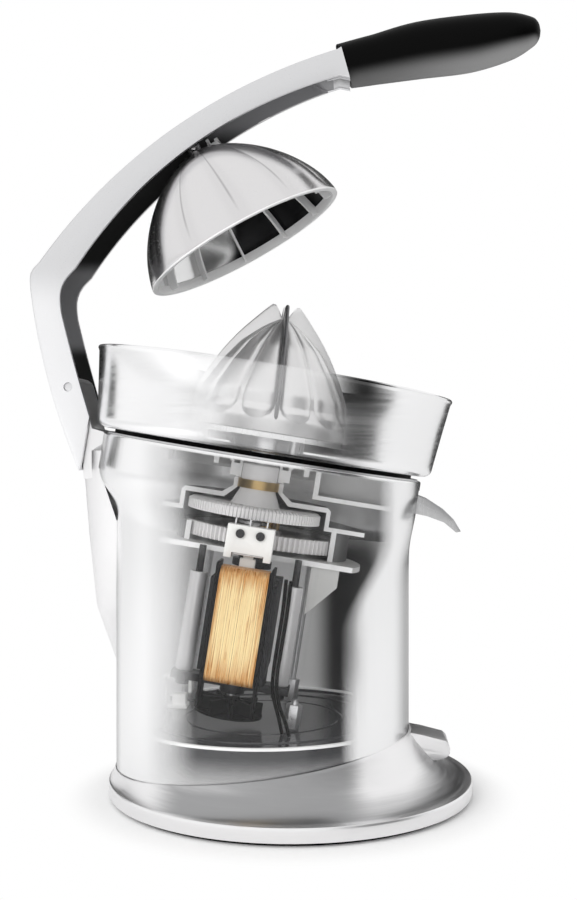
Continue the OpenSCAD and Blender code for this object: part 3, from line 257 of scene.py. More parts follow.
LOOKS = {
    "steel_brushed": brushed("steel_brushed", (0.9, 0.9, 0.905), 0.3),
    "steel_polished": brushed("steel_polished", (0.9, 0.9, 0.905), 0.16, scale=700, depth=0.1),
    "cast_metal": cast("cast_metal", (0.86, 0.855, 0.86), 0.34),
    "dome_metal": brushed("dome_metal", (0.72, 0.71, 0.715), 0.24, (1, 1, 1), 900, 0.03),
    "cone_metal": cast("cone_metal", (0.78, 0.775, 0.775), 0.38),
    "black_grip": moulded("black_grip", (0.002, 0.002, 0.002), 0.42, 0.2),
    "black_rubber": moulded("black_rubber", (0.002, 0.002, 0.002), 0.6, 0.5),
    "black_plastic": moulded("black_plastic", (0.004, 0.004, 0.004), 0.42, 0.3),
    "white_plastic": moulded("white_plastic", (0.88, 0.88, 0.86), 0.4, 0.15),
    "gear_plastic": moulded("gear_plastic", (0.86, 0.85, 0.85), 0.45, 0.2),
    "cover_plastic": moulded("cover_plastic", (0.6, 0.6, 0.6), 0.3, 0.1),
    "case_cast": cast("case_cast", (0.62, 0.62, 0.61), 0.5, 0.25, 0.6),
    "lamination": brushed("lamination", (0.03, 0.03, 0.032), 0.5, (0.1, 0.1, 1.6), 1500, 0.6),
    "steel_part": brushed("steel_part", (0.74, 0.74, 0.75), 0.34, (1, 1, 0.2), 800, 0.2),
    "dark_steel": brushed("dark_steel", (0.05, 0.05, 0.052), 0.4, (1, 1, 0.3), 700, 0.3),
    "bronze": cast("bronze", (0.62, 0.44, 0.2), 0.35, 1.0, 0.4),
    "wire_black": moulded("wire_black", (0.003, 0.003, 0.003), 0.4, 0.2),
}
for name in ("black_grip", "black_rubber", "black_plastic", "wire_black"):
    LOOKS[name].shader.inputs["Specular IOR Level"].default_value = DULL


def copper_look():
    """Copper with fine strands along the winding, and a painted glow brightest in the middle of the side
    that shows.
    """
    look = Look("copper", (0.86, 0.5, 0.17), 0.35, 0.32)
    across, y, along = look.leaning()
    place = look.join(across, look.times(y, 0.3), look.times(along, 0.05))
    strands = look.noise_at(place, 1100, 2.0, 0.55)
    # Painted glow: the middle of the side that shows is made brighter, the top and bottom darker
    middle = look.times(look.ramp(along, -0.124, -0.1), look.ramp(along, -0.058, -0.075))
    sides = look.times(look.ramp(across, -0.012, -0.002), look.ramp(across, 0.022, 0.012))
    painted_glow_and_strands = look.plus(look.times(look.times(middle, sides), 0.4), look.times(strands, 0.9))
    look.vary_colour(painted_glow_and_strands, (0.6, 0.24, 0.03), (1.0, 0.82, 0.46), 0.28, 0.95)
    look.vary_roughness(strands, 0.25, 0.4)
    look.bump(strands, 0.35, 0.0002)
    return look


LOOKS["copper"] = copper_look()
LOOKS["cut_face"] = moulded("cut_face", (0.93, 0.93, 0.93), 0.5, 0.1)
# Painted light and painted shade: lit and shaded copies of the cone metal for the fins
LOOKS["fin_bright"] = cast("fin_bright", (0.93, 0.925, 0.925), 0.4, 0.6)
LOOKS["fin_dark"] = cast("fin_dark", (0.16, 0.16, 0.165), 0.3)
# Painted highlight: a pale colour for the bright rims, ribs and clip of metal parts and the deck's rim line
LOOKS["cover_white"] = moulded("cover_white", (0.85, 0.85, 0.85), 0.3, 0.1)


# Mesh building
def mesh_of(name, points, faces):
    """A mesh from points in millimetres."""
    mesh = bpy.data.meshes.new(name)
    mesh.from_pydata((np.asarray(points, float) / 1000).tolist(), [], [list(map(int, f)) for f in faces])
    return mesh


def new_object(name, data):
    made = bpy.data.objects.new(name, data)
    bpy.context.scene.collection.objects.link(made)
    return made


def piece(
    name, points, faces, look, body, slot, replaces=(), sharp=35.0, bevel=0.0, cut=(), cut_look=None,
):
    """Makes one object from points in millimetres."""
    mesh = mesh_of(name, points, faces)
    mesh.validate()
    bm = bmesh.new()
    bm.from_mesh(mesh)
    bmesh.ops.remove_doubles(bm, verts=bm.verts, dist=1e-6)
    bmesh.ops.recalc_face_normals(bm, faces=bm.faces)
    bm.to_mesh(mesh)
    bm.free()
    made = new_object(name, mesh)
    mesh.materials.append(look.mat)
    if cut_look:
        mesh.materials.append(cut_look.mat)
    for tool in cut:
        subtract(made, tool, 1 if cut_look else 0)
    mesh = made.data
    if bevel:
        round_edges(mesh, bevel)
    smooth(mesh, sharp)
    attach(made, body)
    if replaces:
        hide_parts(*replaces)
    return made


def smooth(mesh, sharp):
    mesh.polygons.foreach_set("use_smooth", [True] * len(mesh.polygons))
    mesh.set_sharp_from_angle(angle=math.radians(sharp))
    mesh.update()


def round_edges(mesh, width_mm, limit=32.0, segments=2):
    bm = bmesh.new()
    bm.from_mesh(mesh)
    bmesh.ops.remove_doubles(bm, verts=bm.verts, dist=1e-6)
    bmesh.ops.dissolve_limit(bm, angle_limit=math.radians(0.6), verts=bm.verts, edges=bm.edges)
    edges = [e for e in bm.edges if len(e.link_faces) == 2 and e.calc_face_angle(0) > math.radians(limit)]
    bmesh.ops.bevel(
        bm, geom=edges, offset=width_mm / 1000, offset_type="OFFSET", segments=segments, profile=0.5,
        affect="EDGES", clamp_overlap=True,
    )
    bm.to_mesh(mesh)
    bm.free()


def subtract(target, tool, index=0):
    mesh = mesh_of("cutter", *tool)
    bm = bmesh.new()
    bm.from_mesh(mesh)
    bmesh.ops.recalc_face_normals(bm, faces=bm.faces)
    bm.to_mesh(mesh)
    bm.free()
    for slot in target.data.materials:
        mesh.materials.append(slot)
    mesh.polygons.foreach_set("material_index", [index] * len(mesh.polygons))
    cutter = new_object("cutter", mesh)
    change = target.modifiers.new("cut", "BOOLEAN")
    change.operation = "DIFFERENCE"
    change.solver = "EXACT"
    change.object = cutter
    bpy.context.view_layer.update()
    graph = bpy.context.evaluated_depsgraph_get()
    result = bpy.data.meshes.new_from_object(target.evaluated_get(graph))
    target.modifiers.clear()
    target.data = result
    bpy.data.objects.remove(cutter)


def loft(rings, closed_rings=True, closed_path=False, cap_start=False, cap_end=False):
    """Faces between rings of points. closed_path joins the last ring to the first."""
    rings = np.asarray(rings, float)
    count, around, _ = rings.shape
    points = rings.reshape(-1, 3)
    faces = []
    last = count if closed_path else count - 1
    span = around if closed_rings else around - 1
    for i in range(last):
        a, b = i * around, ((i + 1) % count) * around
        for k in range(span):
            n = (k + 1) % around
            faces.append((a + k, a + n, b + n, b + k))
    if cap_start:
        faces.append(tuple(range(around))[::-1])
    if cap_end:
        faces.append(tuple((count - 1) * around + k for k in range(around)))
    return points, faces


def joined(*parts):
    points, faces, base = [], [], 0
    for p, f in parts:
        p = np.asarray(p, float)
        points.append(p)
        faces += [tuple(int(i) + base for i in face) for face in f]
        base += len(p)
    return np.concatenate(points), faces


def revolve(profile, steps, place, closed=True, wave=None):
    """A ring of the profile's points (radius, height) round the local axis."""
    profile = np.asarray(profile, float)
    angle = whole_turn(steps)
    radius = profile[:, 0][:, None] * np.ones(steps)
    if wave is not None:
        radius = radius * wave(angle, profile[:, 1][:, None])
    rings = place(radius * np.cos(angle), radius * np.sin(angle), profile[:, 1][:, None] * np.ones(steps))
    return loft(rings, closed_path=closed)


def sideways(out, off, angle):
    """A point at this distance along a spoke and this distance beside it."""
    c, s = math.cos(angle), math.sin(angle)
    return out * c - off * s, out * s + off * c


def block(low, high, place=plain):
    (x0, y0, z0), (x1, y1, z1) = low, high
    corners = [(x, y, z) for x in (x0, x1) for y in (y0, y1) for z in (z0, z1)]
    points = np.array([place(*c) for c in corners])
    faces = [(0, 1, 3, 2), (4, 6, 7, 5), (0, 4, 5, 1), (2, 3, 7, 6), (0, 2, 6, 4), (1, 5, 7, 3)]
    return points, faces


def rod_y(x, z, radius, half, steps=32):
    angle = whole_turn(steps)
    rings = [plain(x + radius * np.cos(angle), y, z + radius * np.sin(angle)) for y in (-half, half)]
    return loft(rings, cap_start=True, cap_end=True)


def even(points, count):
    """Evenly spaced points along a line of points."""
    points = np.asarray(points, float)
    run = np.concatenate([[0], np.cumsum(np.linalg.norm(np.diff(points, axis=0), axis=1))])
    at = np.linspace(0, run[-1], count)
    return np.stack([np.interp(at, run, points[:, k]) for k in range(points.shape[1])], -1)


def curve_through(points, count):
    """Points on a smooth curve through the given ones, evenly spaced."""
    p = np.asarray(points, float)
    ends = np.vstack([2 * p[0] - p[1], p, 2 * p[-1] - p[-2]])
    fine = []
    for i in range(len(p) - 1):
        a, b, c, d = ends[i:i + 4]
        t = np.linspace(0, 1, 40, endpoint=False)[:, None]
        bend = 2 * a - 5 * b + 4 * c - d
        twist = 3 * b - a - 3 * c + d
        fine.append(0.5 * (2 * b + (c - a) * t + bend * t ** 2 + twist * t ** 3))
    return even(np.vstack(fine + [p[-1:]]), count)


def tube(path, radius, sides):
    path = np.asarray(path, float)
    rings = []
    side = np.array([0.0, 1.0, 0.0])
    for i, p in enumerate(path):
        along = path[min(i + 1, len(path) - 1)] - path[max(i - 1, 0)]
        along /= np.linalg.norm(along)
        side = side - along * (side @ along)
        side /= np.linalg.norm(side)
        other = np.cross(along, side)
        a = whole_turn(sides)[:, None]
        rings.append(p + radius * (np.cos(a) * side + np.sin(a) * other))
    return loft(rings, cap_start=True, cap_end=True)


def slot_of(node):
    """The name of a CAD piece's material slot, or nothing if it has none."""
    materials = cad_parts[node].data.materials
    return materials[0].name.split(".")[0] if materials else ""


def cad_shape(node):
    """Points and faces of a CAD piece, in millimetres."""
    bm = bmesh.new()
    bm.from_mesh(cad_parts[node].data)
    bmesh.ops.remove_doubles(bm, verts=bm.verts, dist=1e-6)
    bm.verts.index_update()
    points = [v.co * 1000 for v in bm.verts]
    faces = [[v.index for v in f.verts] for f in bm.faces]
    bm.free()
    return points, faces


def refine(node, body, bevel, look=None):
    """The CAD piece again with small rounded edges."""
    slot = slot_of(node)
    return piece(
        node + "_finished", *cad_shape(node), look or LOOKS[slot], body, slot, (node,), 30.0, bevel,
    )


# Which side of the housing lets the inside show, in the object's own places
def window_share(look):
    x, y, z = look.axes()
    left = look.ramp(x, -0.077, -0.043)
    edge = look.ramp(z, 0.1, 0.15, 0.04, 0.06)
    right = look.ramp(look.minus(edge, x), 0.0, 0.011)
    near = look.ramp(y, -0.012, -0.03)
    low = look.ramp(z, 0.014, 0.04, 0.45, 1.0)
    under_lip = look.ramp(look.leaning()[2], -0.0008, -0.0024)
    share = look.times(look.times(left, right), look.times(near, low))
    return look.times(look.times(share, under_lip), MOST_CLEAR)


def housing_look():
    look = Look("housing_steel", (0.92, 0.92, 0.925), 1.0, 0.24)
    grain = look.noise(500, 2.0, 0.6, (1, 1, 0.02))
    x, _, z = look.axes()
    # Painted reflection of dark surroundings: the steel darkens towards its front and rear edges
    edge = look.ramp(z, 0.125, 0.165, 0.0, 0.0075)
    front = look.ramp(look.minus(x, edge), 0.056, 0.069, 0.0, 0.75)
    rear = look.ramp(look.plus(x, edge), -0.089, -0.1005, 0.0, 0.8)
    cloud = look.times(look.noise(9, 2.0, 0.5, (1, 1, 0.3)), 0.06)
    shade = look.plus(look.plus(front, rear), cloud)
    look.vary_colour(shade, (0.94, 0.94, 0.945), (0.16, 0.16, 0.163), 0.0, 1.0)
    look.vary_roughness(grain, 0.2, 0.27)
    look.bump(grain, 0.05, 0.00003)
    look.clear(window_share(look))
    return look


def near_half_look(name, colour):
    look = moulded(name, colour, 0.25, 0.05)
    look.clear(look.ramp(look.noise(30), 0.3, 0.7, 0.985, 0.993))
    return look


def bowl_look():
    look = Look("bowl_steel", (0.88, 0.88, 0.885), 1.0, 0.14)
    grain = look.noise(700, 2.0, 0.6, (0.04, 0.04, 1))
    across, _, height = look.leaning()
    # Painted dark reflection to the right of the middle, strongest towards the top
    front = look.times(look.ramp(across, 0.02, 0.045), look.ramp(across, 0.07, 0.052))
    front = look.times(front, look.ramp(height, 0.026, 0.044, 0.25, 0.8))
    shade = look.plus(front, look.times(look.noise(7, 2.0), 0.06))
    look.vary_colour(shade, (0.95, 0.95, 0.955), (0.012, 0.012, 0.012), 0.0, 1.0)
    look.vary_roughness(grain, 0.16, 0.24)
    look.bump(grain, 0.05, 0.00003)
    x, y, _ = look.axes()
    left = look.ramp(x, -0.055, -0.02)
    right = look.ramp(x, 0.045, 0.02)
    near = look.ramp(y, -0.04, -0.06)
    share = look.times(look.times(left, right), near)
    look.clear(look.times(share, 0.86))
    return look


# Housing
def housing():
    angle = whole_turn(144)
    c, s = np.cos(angle), np.sin(angle)
    collar_low, collar_high = -17, -1.2

    def skin(inset):
        """Rings from the seam up to the collar's top."""
        wall_r = BODY_R - inset
        x, y = AXIS_X + wall_r * c, wall_r * s
        low = SEAM_Z + (x - AXIS_X) * math.tan(SEAM_LEAN)
        high = lean((COLLAR_R - 4) * c, 0, -47)[..., 2]
        rings = [np.stack([x, y, low + (high - low) * t], -1) for t in np.linspace(0, 1, 9)]
        start = rings[-1]
        collar_r = COLLAR_R - inset
        end = lean(collar_r * c, collar_r * s, collar_low)
        reach = 0.42 * np.linalg.norm(end - start, axis=-1, keepdims=True)
        first = start + reach * np.array([0, 0, 1.0])
        second = end - reach * np.array([math.sin(LEAN), 0, math.cos(LEAN)])
        for t in np.linspace(0, 1, 13)[1:]:
            q = 1 - t
            rings.append(q ** 3 * start + 3 * q * q * t * first + 3 * q * t * t * second + t ** 3 * end)
        rings += [lean(collar_r * c, collar_r * s, w) for w in (-12, -7, -3, collar_high)]
        return rings

    rings = skin(0)
    lip = ((-0.1, -0.6), (-0.4, -0.15), (-0.8, 0), (-1.1, -0.3))
    rings += [lean((COLLAR_R + out) * c, (COLLAR_R + out) * s, w) for out, w in lip]
    rings += skin(SHEET)[::-1]
    window = block((COLLAR_R - 14, -13, -18.4), (COLLAR_R + 16, 13, -5.1), lean)
    made = piece(
        "housing_shell", *loft(rings, closed_path=True), housing_look(), "base", "steel_brushed",
        ("housing",), sharp=40, cut=[window],
    )
    let_light_in(made)


# Base
def skirt_look():
    """Satin metal brushed round the axis, with painted highlights: bright band and rear, a sheen beside the
    paddle.
    """
    look = Look("skirt_satin", (0.6, 0.6, 0.6), 1.0, 0.36)
    x, y, z = look.axes()
    turn = look.times(look.math("ARCTAN2", y, x), 0.004)
    place = look.join(look.reach(x, y), turn, z)
    streaks = look.noise_at(place, 700, 3.0, 0.6)
    wide = look.noise_at(place, 160, 2.0, 0.5)
    # Painted highlights: lighter at the rear, beside the paddle, at the front, under the seam and on the
    # band
    rear = look.ramp(x, -0.048, -0.078)
    sheen = look.times(look.ramp(x, 0.03, 0.05), look.ramp(x, 0.088, 0.062))
    sheen = look.times(sheen, look.ramp(z, 0.012, 0.026, 0.25, 1.0))
    front = look.times(look.ramp(x, 0.02, 0.045), 0.22)
    under_seam = look.times(look.ramp(x, 0.01, -0.05), look.ramp(z, 0.018, 0.023, 0.0, 0.35))
    band = look.ramp(z, 0.0112, 0.0098)
    level = look.plus(look.math("MAXIMUM", look.math("MAXIMUM", rear, sheen), under_seam), front)
    level = look.math("MAXIMUM", level, band)
    grain = look.times(look.plus(look.minus(streaks, 0.5), look.minus(wide, 0.5)), 0.3)
    level = look.plus(level, look.times(grain, look.minus(1.0, band)))
    look.vary_colour(level, (0.36, 0.36, 0.365), (0.88, 0.875, 0.88), 0.0, 1.0)
    look.vary_roughness(streaks, 0.3, 0.42)
    look.bump(streaks, 0.12, 0.00005)
    return look


def base():
    angle = whole_turn(160)
    c, s = np.cos(angle), np.sin(angle)
    band_top = 10
    seam_gap = 1.2

    def skirt(q, out=0.0, up=0.0):
        draw = math.sqrt(q)
        r = BASE_R - (BASE_R - BODY_R - seam_gap) * draw + out
        tilt = SEAM_LEAN * q
        height = band_top + (SEAM_Z - band_top) * q + up + r * c * math.sin(tilt)
        return plain(AXIS_X * draw + r * c * math.cos(tilt), r * s, height)

    band = (
        (92, 8), (92, 4.6), (100.4, 4.6), (100.4, 2.1), (101, 2), (103, 2), (103.7, 2.3), (BASE_R, 3.1),
        (BASE_R, 8.4), (103.85, 9.3), (103.4, 9.9),
    )
    rings = [plain(r * c, r * s, z) for r, z in band]
    rings += [skirt(q, -0.2 if q < 0.01 else 0) for q in np.linspace(0.06, 1, 30) ** 2]
    rings += [skirt(1, -0.25, 0.25), skirt(1, -0.75, 0.3), skirt(1, -1.15, 0.0), skirt(1, -1.3, -6)]
    piece("base_skirt", *loft(rings), skirt_look(), "base", "cast_metal", ("base_casting",), sharp=38)

    def on_deck(r, z):
        return plain(AXIS_X + r * c, r * s, z)

    deck_r, deck_low, edge_z = 82.4, 8, DECK_Z + 1.5
    grooves = (
        (79.2, 0), (66, 0), (65.4, 0.6), (63, 0.6), (62.4, 0), (46, 0), (45.6, -0.6), (44, -0.6), (43.6, 0),
        (20, 0), (0.01, 0),
    )
    deck = [on_deck(deck_r, deck_low + (edge_z - deck_low) * t) for t in (0, 0.5, 0.97)]
    deck += [on_deck(deck_r - inset, edge_z - drop) for inset, drop in ((0.5, 0), (2.4, 0), (2.9, 0.6))]
    deck += [on_deck(r, DECK_Z + h) for r, h in grooves]
    look = moulded("deck_plastic", (0.045, 0.045, 0.048), 0.16, 0.06)
    piece("base_deck", *loft(deck), look, "base", "cast_metal", sharp=38)
    edge = (
        (82.42, 0.2), (82.44, 0.9), (82.2, 1.45), (81.8, 1.6), (80.2, 1.6), (79.7, 1.4), (79.5, 1.0),
        (79.5, 0.02),
    )
    rim = [on_deck(r, DECK_Z + h) for r, h in edge]
    # The deck's rim line is a painted highlight
    piece("deck_rim", *loft(rim), LOOKS["cover_white"], "base", "cast_metal", sharp=38)


# Bowl
def bowl():
    profile = [
        (19.5, 0.3), (19.8, 0), (92.4, 0), (93.9, 0.25), (95.4, 1.1), (96.5, 2.3), (97.0, 3.8), (97.25, 6),
        (99.5, 25), (101.7, 42), (102.2, 43.1), (102.5, 43.6), (102.5, 44.4), (102.1, 44.9), (101.3, 45),
        (100.7, 44.6), (100.5, 43.4), (98.2, 25), (95.9, 5.4), (95.5, 3.8), (94.6, 2.3), (93, 1.4),
        (91, 1.2), (21.2, 1.2), (20.7, 1.7), (20.7, 17.4), (20.4, 18), (19.8, 18), (19.5, 17.4),
    ]
    profile = [(r, h + BOWL_LOW) for r, h in profile]
    outlet_u, outlet_r = 62, 8
    ring = [(outlet_r + out, h + BOWL_LOW) for out, h in ((0, -5.5), (SHEET, -5.5), (SHEET, 0.4), (0, 0.4))]
    outlet = revolve(ring, 40, lambda x, y, z: lean(x + outlet_u, y, z))
    angle = whole_turn(40)
    circle = [lean(outlet_u + outlet_r * np.cos(angle), outlet_r * np.sin(angle), h) for h in (-1, 8)]
    hole = loft(circle, cap_start=True, cap_end=True)
    piece(
        "juice_bowl_shell", *revolve(profile, 180, lean), bowl_look(), "bowl", "steel_polished",
        ("juice_bowl",), sharp=30, cut=[hole],
    )
    piece("juice_bowl_outlet", *outlet, LOOKS["steel_polished"], "bowl", "steel_polished", sharp=30)


# Cone with twelve raised lobes, round at their lower ends, and four fins
def cone():
    around, levels = 480, 96
    turn = math.radians(CONE_TURN)
    angle = whole_turn(around)
    steps_t = [0, 0.02, 0.06, 0.13, 0.3, 0.5, 0.68, 0.8, 0.86, 0.88]
    steps_r = [0.98, 1.0, 1.0, 0.975, 0.915, 0.72, 0.49, 0.27, 0.13, 0.05]
    t = np.concatenate([[0, 0.012, 0.05], np.linspace(0.07, 0.88, levels - 3)])
    r = np.interp(t, steps_t, steps_r)
    r = np.convolve(np.pad(r, 3, mode="edge"), np.array([1, 2, 3, 4, 3, 2, 1]) / 16, mode="valid")
    r[:3] = (0.975, 0.998, 1.0)
    lobe = math.pi / 6
    from_middle = (angle - turn) % lobe - lobe / 2
    rings = []
    for k, height in enumerate(t):
        radius = CONE_R * r[k]
        half = radius * lobe / 2 * 0.86
        reach = (height - 0.1) * CONE_H
        if reach < half:
            wide = math.sqrt(max(0.0, half ** 2 - (half - reach) ** 2)) if reach > 0 else 0.0
        else:
            wide = half
        across = np.abs(from_middle) * radius
        share = np.clip(across / max(wide, 1e-6), 0, 1) if wide > 0 else np.ones(around)
        bulge = np.sqrt(np.clip(1 - share ** 2.6, 0, 1))
        lift = min(1.0, max(0.0, (height - 0.1) / 0.06))
        low = 0.055 * min(1.0, max(0.0, (height - 0.11) / 0.1))
        out = radius * (1 - low) + 2.6 * bulge * lift * min(1.0, radius / 24)
        out = np.minimum(out, CONE_R)
        rings.append(lean(out * np.cos(angle), out * np.sin(angle), CONE_LOW + CONE_H * height))
    body = loft(rings, cap_end=True)
    under = revolve(
        [(44.1, 0), (42.6, 0.2), (42.4, 4.5), (37.5, 4.6), (12, 36), (10.05, 36), (10.05, 0)], 96,
        lambda x, y, z: lean(x, y, z + CONE_LOW), closed=False,
    )
    side = curve_through([
        (0.985, 0.10), (0.985, 0.2), (0.965, 0.3), (0.84, 0.46), (0.7, 0.61), (0.53, 0.755), (0.36, 0.875),
        (0.24, 0.955), (0.165, 0.993), (0.12, 0.97), (0.07, 0.9), (0, 0.88),
    ], 48)
    thick = 1.1
    for k in range(4):
        a = math.radians(90 * k) + turn
        section = [(-thick, 0.02), (-0.7, 0.006), (0, 0), (0.7, 0.006), (thick, 0.02)]
        rows = []
        for x, z in side:
            row = []
            for off, inset in section:
                out, up = CONE_R * max(x - inset, 0), CONE_H * (z - inset * 0.6)
                row.append(lean(*sideways(out, off, a), CONE_LOW + up))
            for off in (thick, -thick):
                row.append(lean(*sideways(0, off, a), CONE_LOW + CONE_H * min(z, 0.86)))
            rows.append(row)
        # Each fin gets painted light or painted shade by where it stands round the cone
        look = LOOKS["cone_metal"] if k == 2 else LOOKS["fin_dark" if k == 3 else "fin_bright"]
        fin = loft(rows, cap_start=True, cap_end=True)
        piece("cone_fin_%d" % k, *fin, look, "reamer", "cone_metal", sharp=30)
    shell = joined(body, under)
    piece("cone_shell", *shell, LOOKS["cone_metal"], "reamer", "cone_metal", ("cone",), sharp=30)


# Dome
def dome_look():
    """Bright metal with painted shade: a fine dark line in each fold between the petals, and darker beside
    the folds.
    """
    look = brushed("dome_petals", (0.7, 0.69, 0.695), 0.22, (1, 1, 1), 900, 0.03)
    across, depth, height = look.turned(DOME_X, DOME_Z, DOME_LEAN)
    turn = look.minus(look.math("ARCTAN2", depth, across), DOME_TURN)
    fold = look.math("ABSOLUTE", look.math("SINE", look.times(turn, 6.0)))
    # Painted shade in and beside the folds between the petals
    line = look.times(look.ramp(fold, 0.13, 0.01), look.ramp(height, 0.002, 0.02))
    side = look.times(look.ramp(fold, 0.9, 0.3), 0.12)
    shade = look.plus(look.times(line, 0.3), look.plus(side, look.times(look.noise(14), 0.06)))
    look.vary_colour(shade, (0.74, 0.73, 0.735), (0.16, 0.16, 0.165), 0.0, 1.0)
    return look


def dome_inside_look():
    """Painted dark reflection inside, and painted light where it faces the light at the rear."""
    # Painted dark reflection: the metal's colour is near black
    look = cast("dome_inside", (0.02, 0.02, 0.021), 0.22, 0.9, 0.1)
    x = look.axes()[0]
    # Painted light: pale towards the rear
    shade = look.plus(look.ramp(x, -0.034, -0.046), look.times(look.noise(30), 0.05))
    look.vary_colour(shade, (0.012, 0.012, 0.0125), (0.8, 0.8, 0.8), 0.05, 1.0)
    return look


def dome():
    turns = np.linspace(0, math.pi / 2, 40)

    def curve(r, h):
        return [(r * math.cos(t) ** 1.25, h * math.sin(t) ** 1.25) for t in turns[:-1]]

    def petals(angle, height):
        fold = 1 - np.abs(np.sin(6 * (angle - DOME_TURN))) ** 0.8
        fade = np.clip((60 - height) / 22, 0, 1) * np.clip((height - 1.5) / 7, 0, 1)
        return 1 - 0.014 * fold * fade

    outer = curve(60.5, 61)
    outer[0] = (60.4, 0.5)
    rim = [
        (58.2, 5.4), (57.3, 5.2), (57.2, 0.5), (57.5, 0.0), (60.1, -0.05), (60.4, 0.2), (60.45, 0.9),
        (60.0, 1.0),
    ]
    inner = curve(58.1, 58.6)
    lining = [(0.01, 58.6)] + [p for p in inner[::-1] if p[1] > 6] + [(58.0, 5.2), (57.5, 5.2)]
    rim = revolve(rim, 144, on_dome, closed=False)
    lining = revolve(lining, 144, on_dome, closed=False)
    shell = revolve([(59.0, 0.6)] + outer + [(0.01, 61)], 288, on_dome, closed=False, wave=petals)
    # The dome's rim is a painted highlight
    piece("dome_rim", *rim, LOOKS["cover_white"], "press_dome", "dome_metal", sharp=40)
    piece("dome_lining", *lining, dome_inside_look(), "press_dome", "dome_metal", sharp=60)
    ribs = []
    for k in range(12):
        a = 2 * math.pi * k / 12 + DOME_TURN
        rows = []
        for t in np.linspace(0.05, 1.18, 24):
            far = (58.4 * math.cos(t) ** 1.25, 58.8 * math.sin(t) ** 1.25)
            depth = 5.6 * min(1, (1.2 - t) / 0.3)
            near = (far[0] - depth * math.cos(t), far[1] - depth * math.sin(t))
            corners = ((far, -0.8), (near, -0.6), (near, 0.6), (far, 0.8))
            rows.append([on_dome(*sideways(r, off, a), h) for (r, h), off in corners])
        ribs.append(loft(rows, cap_start=True, cap_end=True))
    # The dome's ribs are painted highlights
    piece("dome_ribs", *joined(*ribs), LOOKS["cover_white"], "press_dome", "dome_metal", sharp=40)
    neck = [(9, 56.6), (7.5, 58.2), (5.2, 59.4), (4, 60.6), (4, 64), (3.6, 66), (0.01, 66.2)]
    boss = revolve(neck, 32, on_dome, closed=False)
    x, _, z = on_dome(0, 0, 66)
    eye = rod_y(x, z, 4, 6)
    clip = joined(
        block((8, -4, 53.8), (15, 4, 57.5), on_dome), block((8, -4, 57.4), (10, 4, 63.3), on_dome),
        block((12.6, -4, 57.4), (15, 4, 61.5), on_dome), block((8, -4, 57.4), (15, -2.6, 60), on_dome),
    )
    # The dome's clip is a painted highlight
    piece("dome_clip", *clip, LOOKS["cover_white"], "press_dome", "dome_metal", sharp=30, bevel=0.4)
    whole = joined(shell, boss, eye)
    piece("dome_shell", *whole, dome_look(), "press_dome", "dome_metal", ("dome",), sharp=40)


# Arm
def arc_points(a, b, c, count):
    a, b, c = (np.asarray(p, float) for p in (a, b, c))
    d = 2 * (a[0] * (b[1] - c[1]) + b[0] * (c[1] - a[1]) + c[0] * (a[1] - b[1]))
    sq = [p @ p for p in (a, b, c)]
    m = np.array([
        (sq[0] * (b[1] - c[1]) + sq[1] * (c[1] - a[1]) + sq[2] * (a[1] - b[1])) / d,
        (sq[0] * (c[0] - b[0]) + sq[1] * (a[0] - c[0]) + sq[2] * (b[0] - a[0])) / d,
    ])
    angles = np.unwrap([math.atan2(*(p - m)[::-1]) for p in (a, b, c)])
    t = np.linspace(angles[0], angles[2], count)
    return m + np.linalg.norm(a - m) * np.stack([np.cos(t), np.sin(t)], -1)


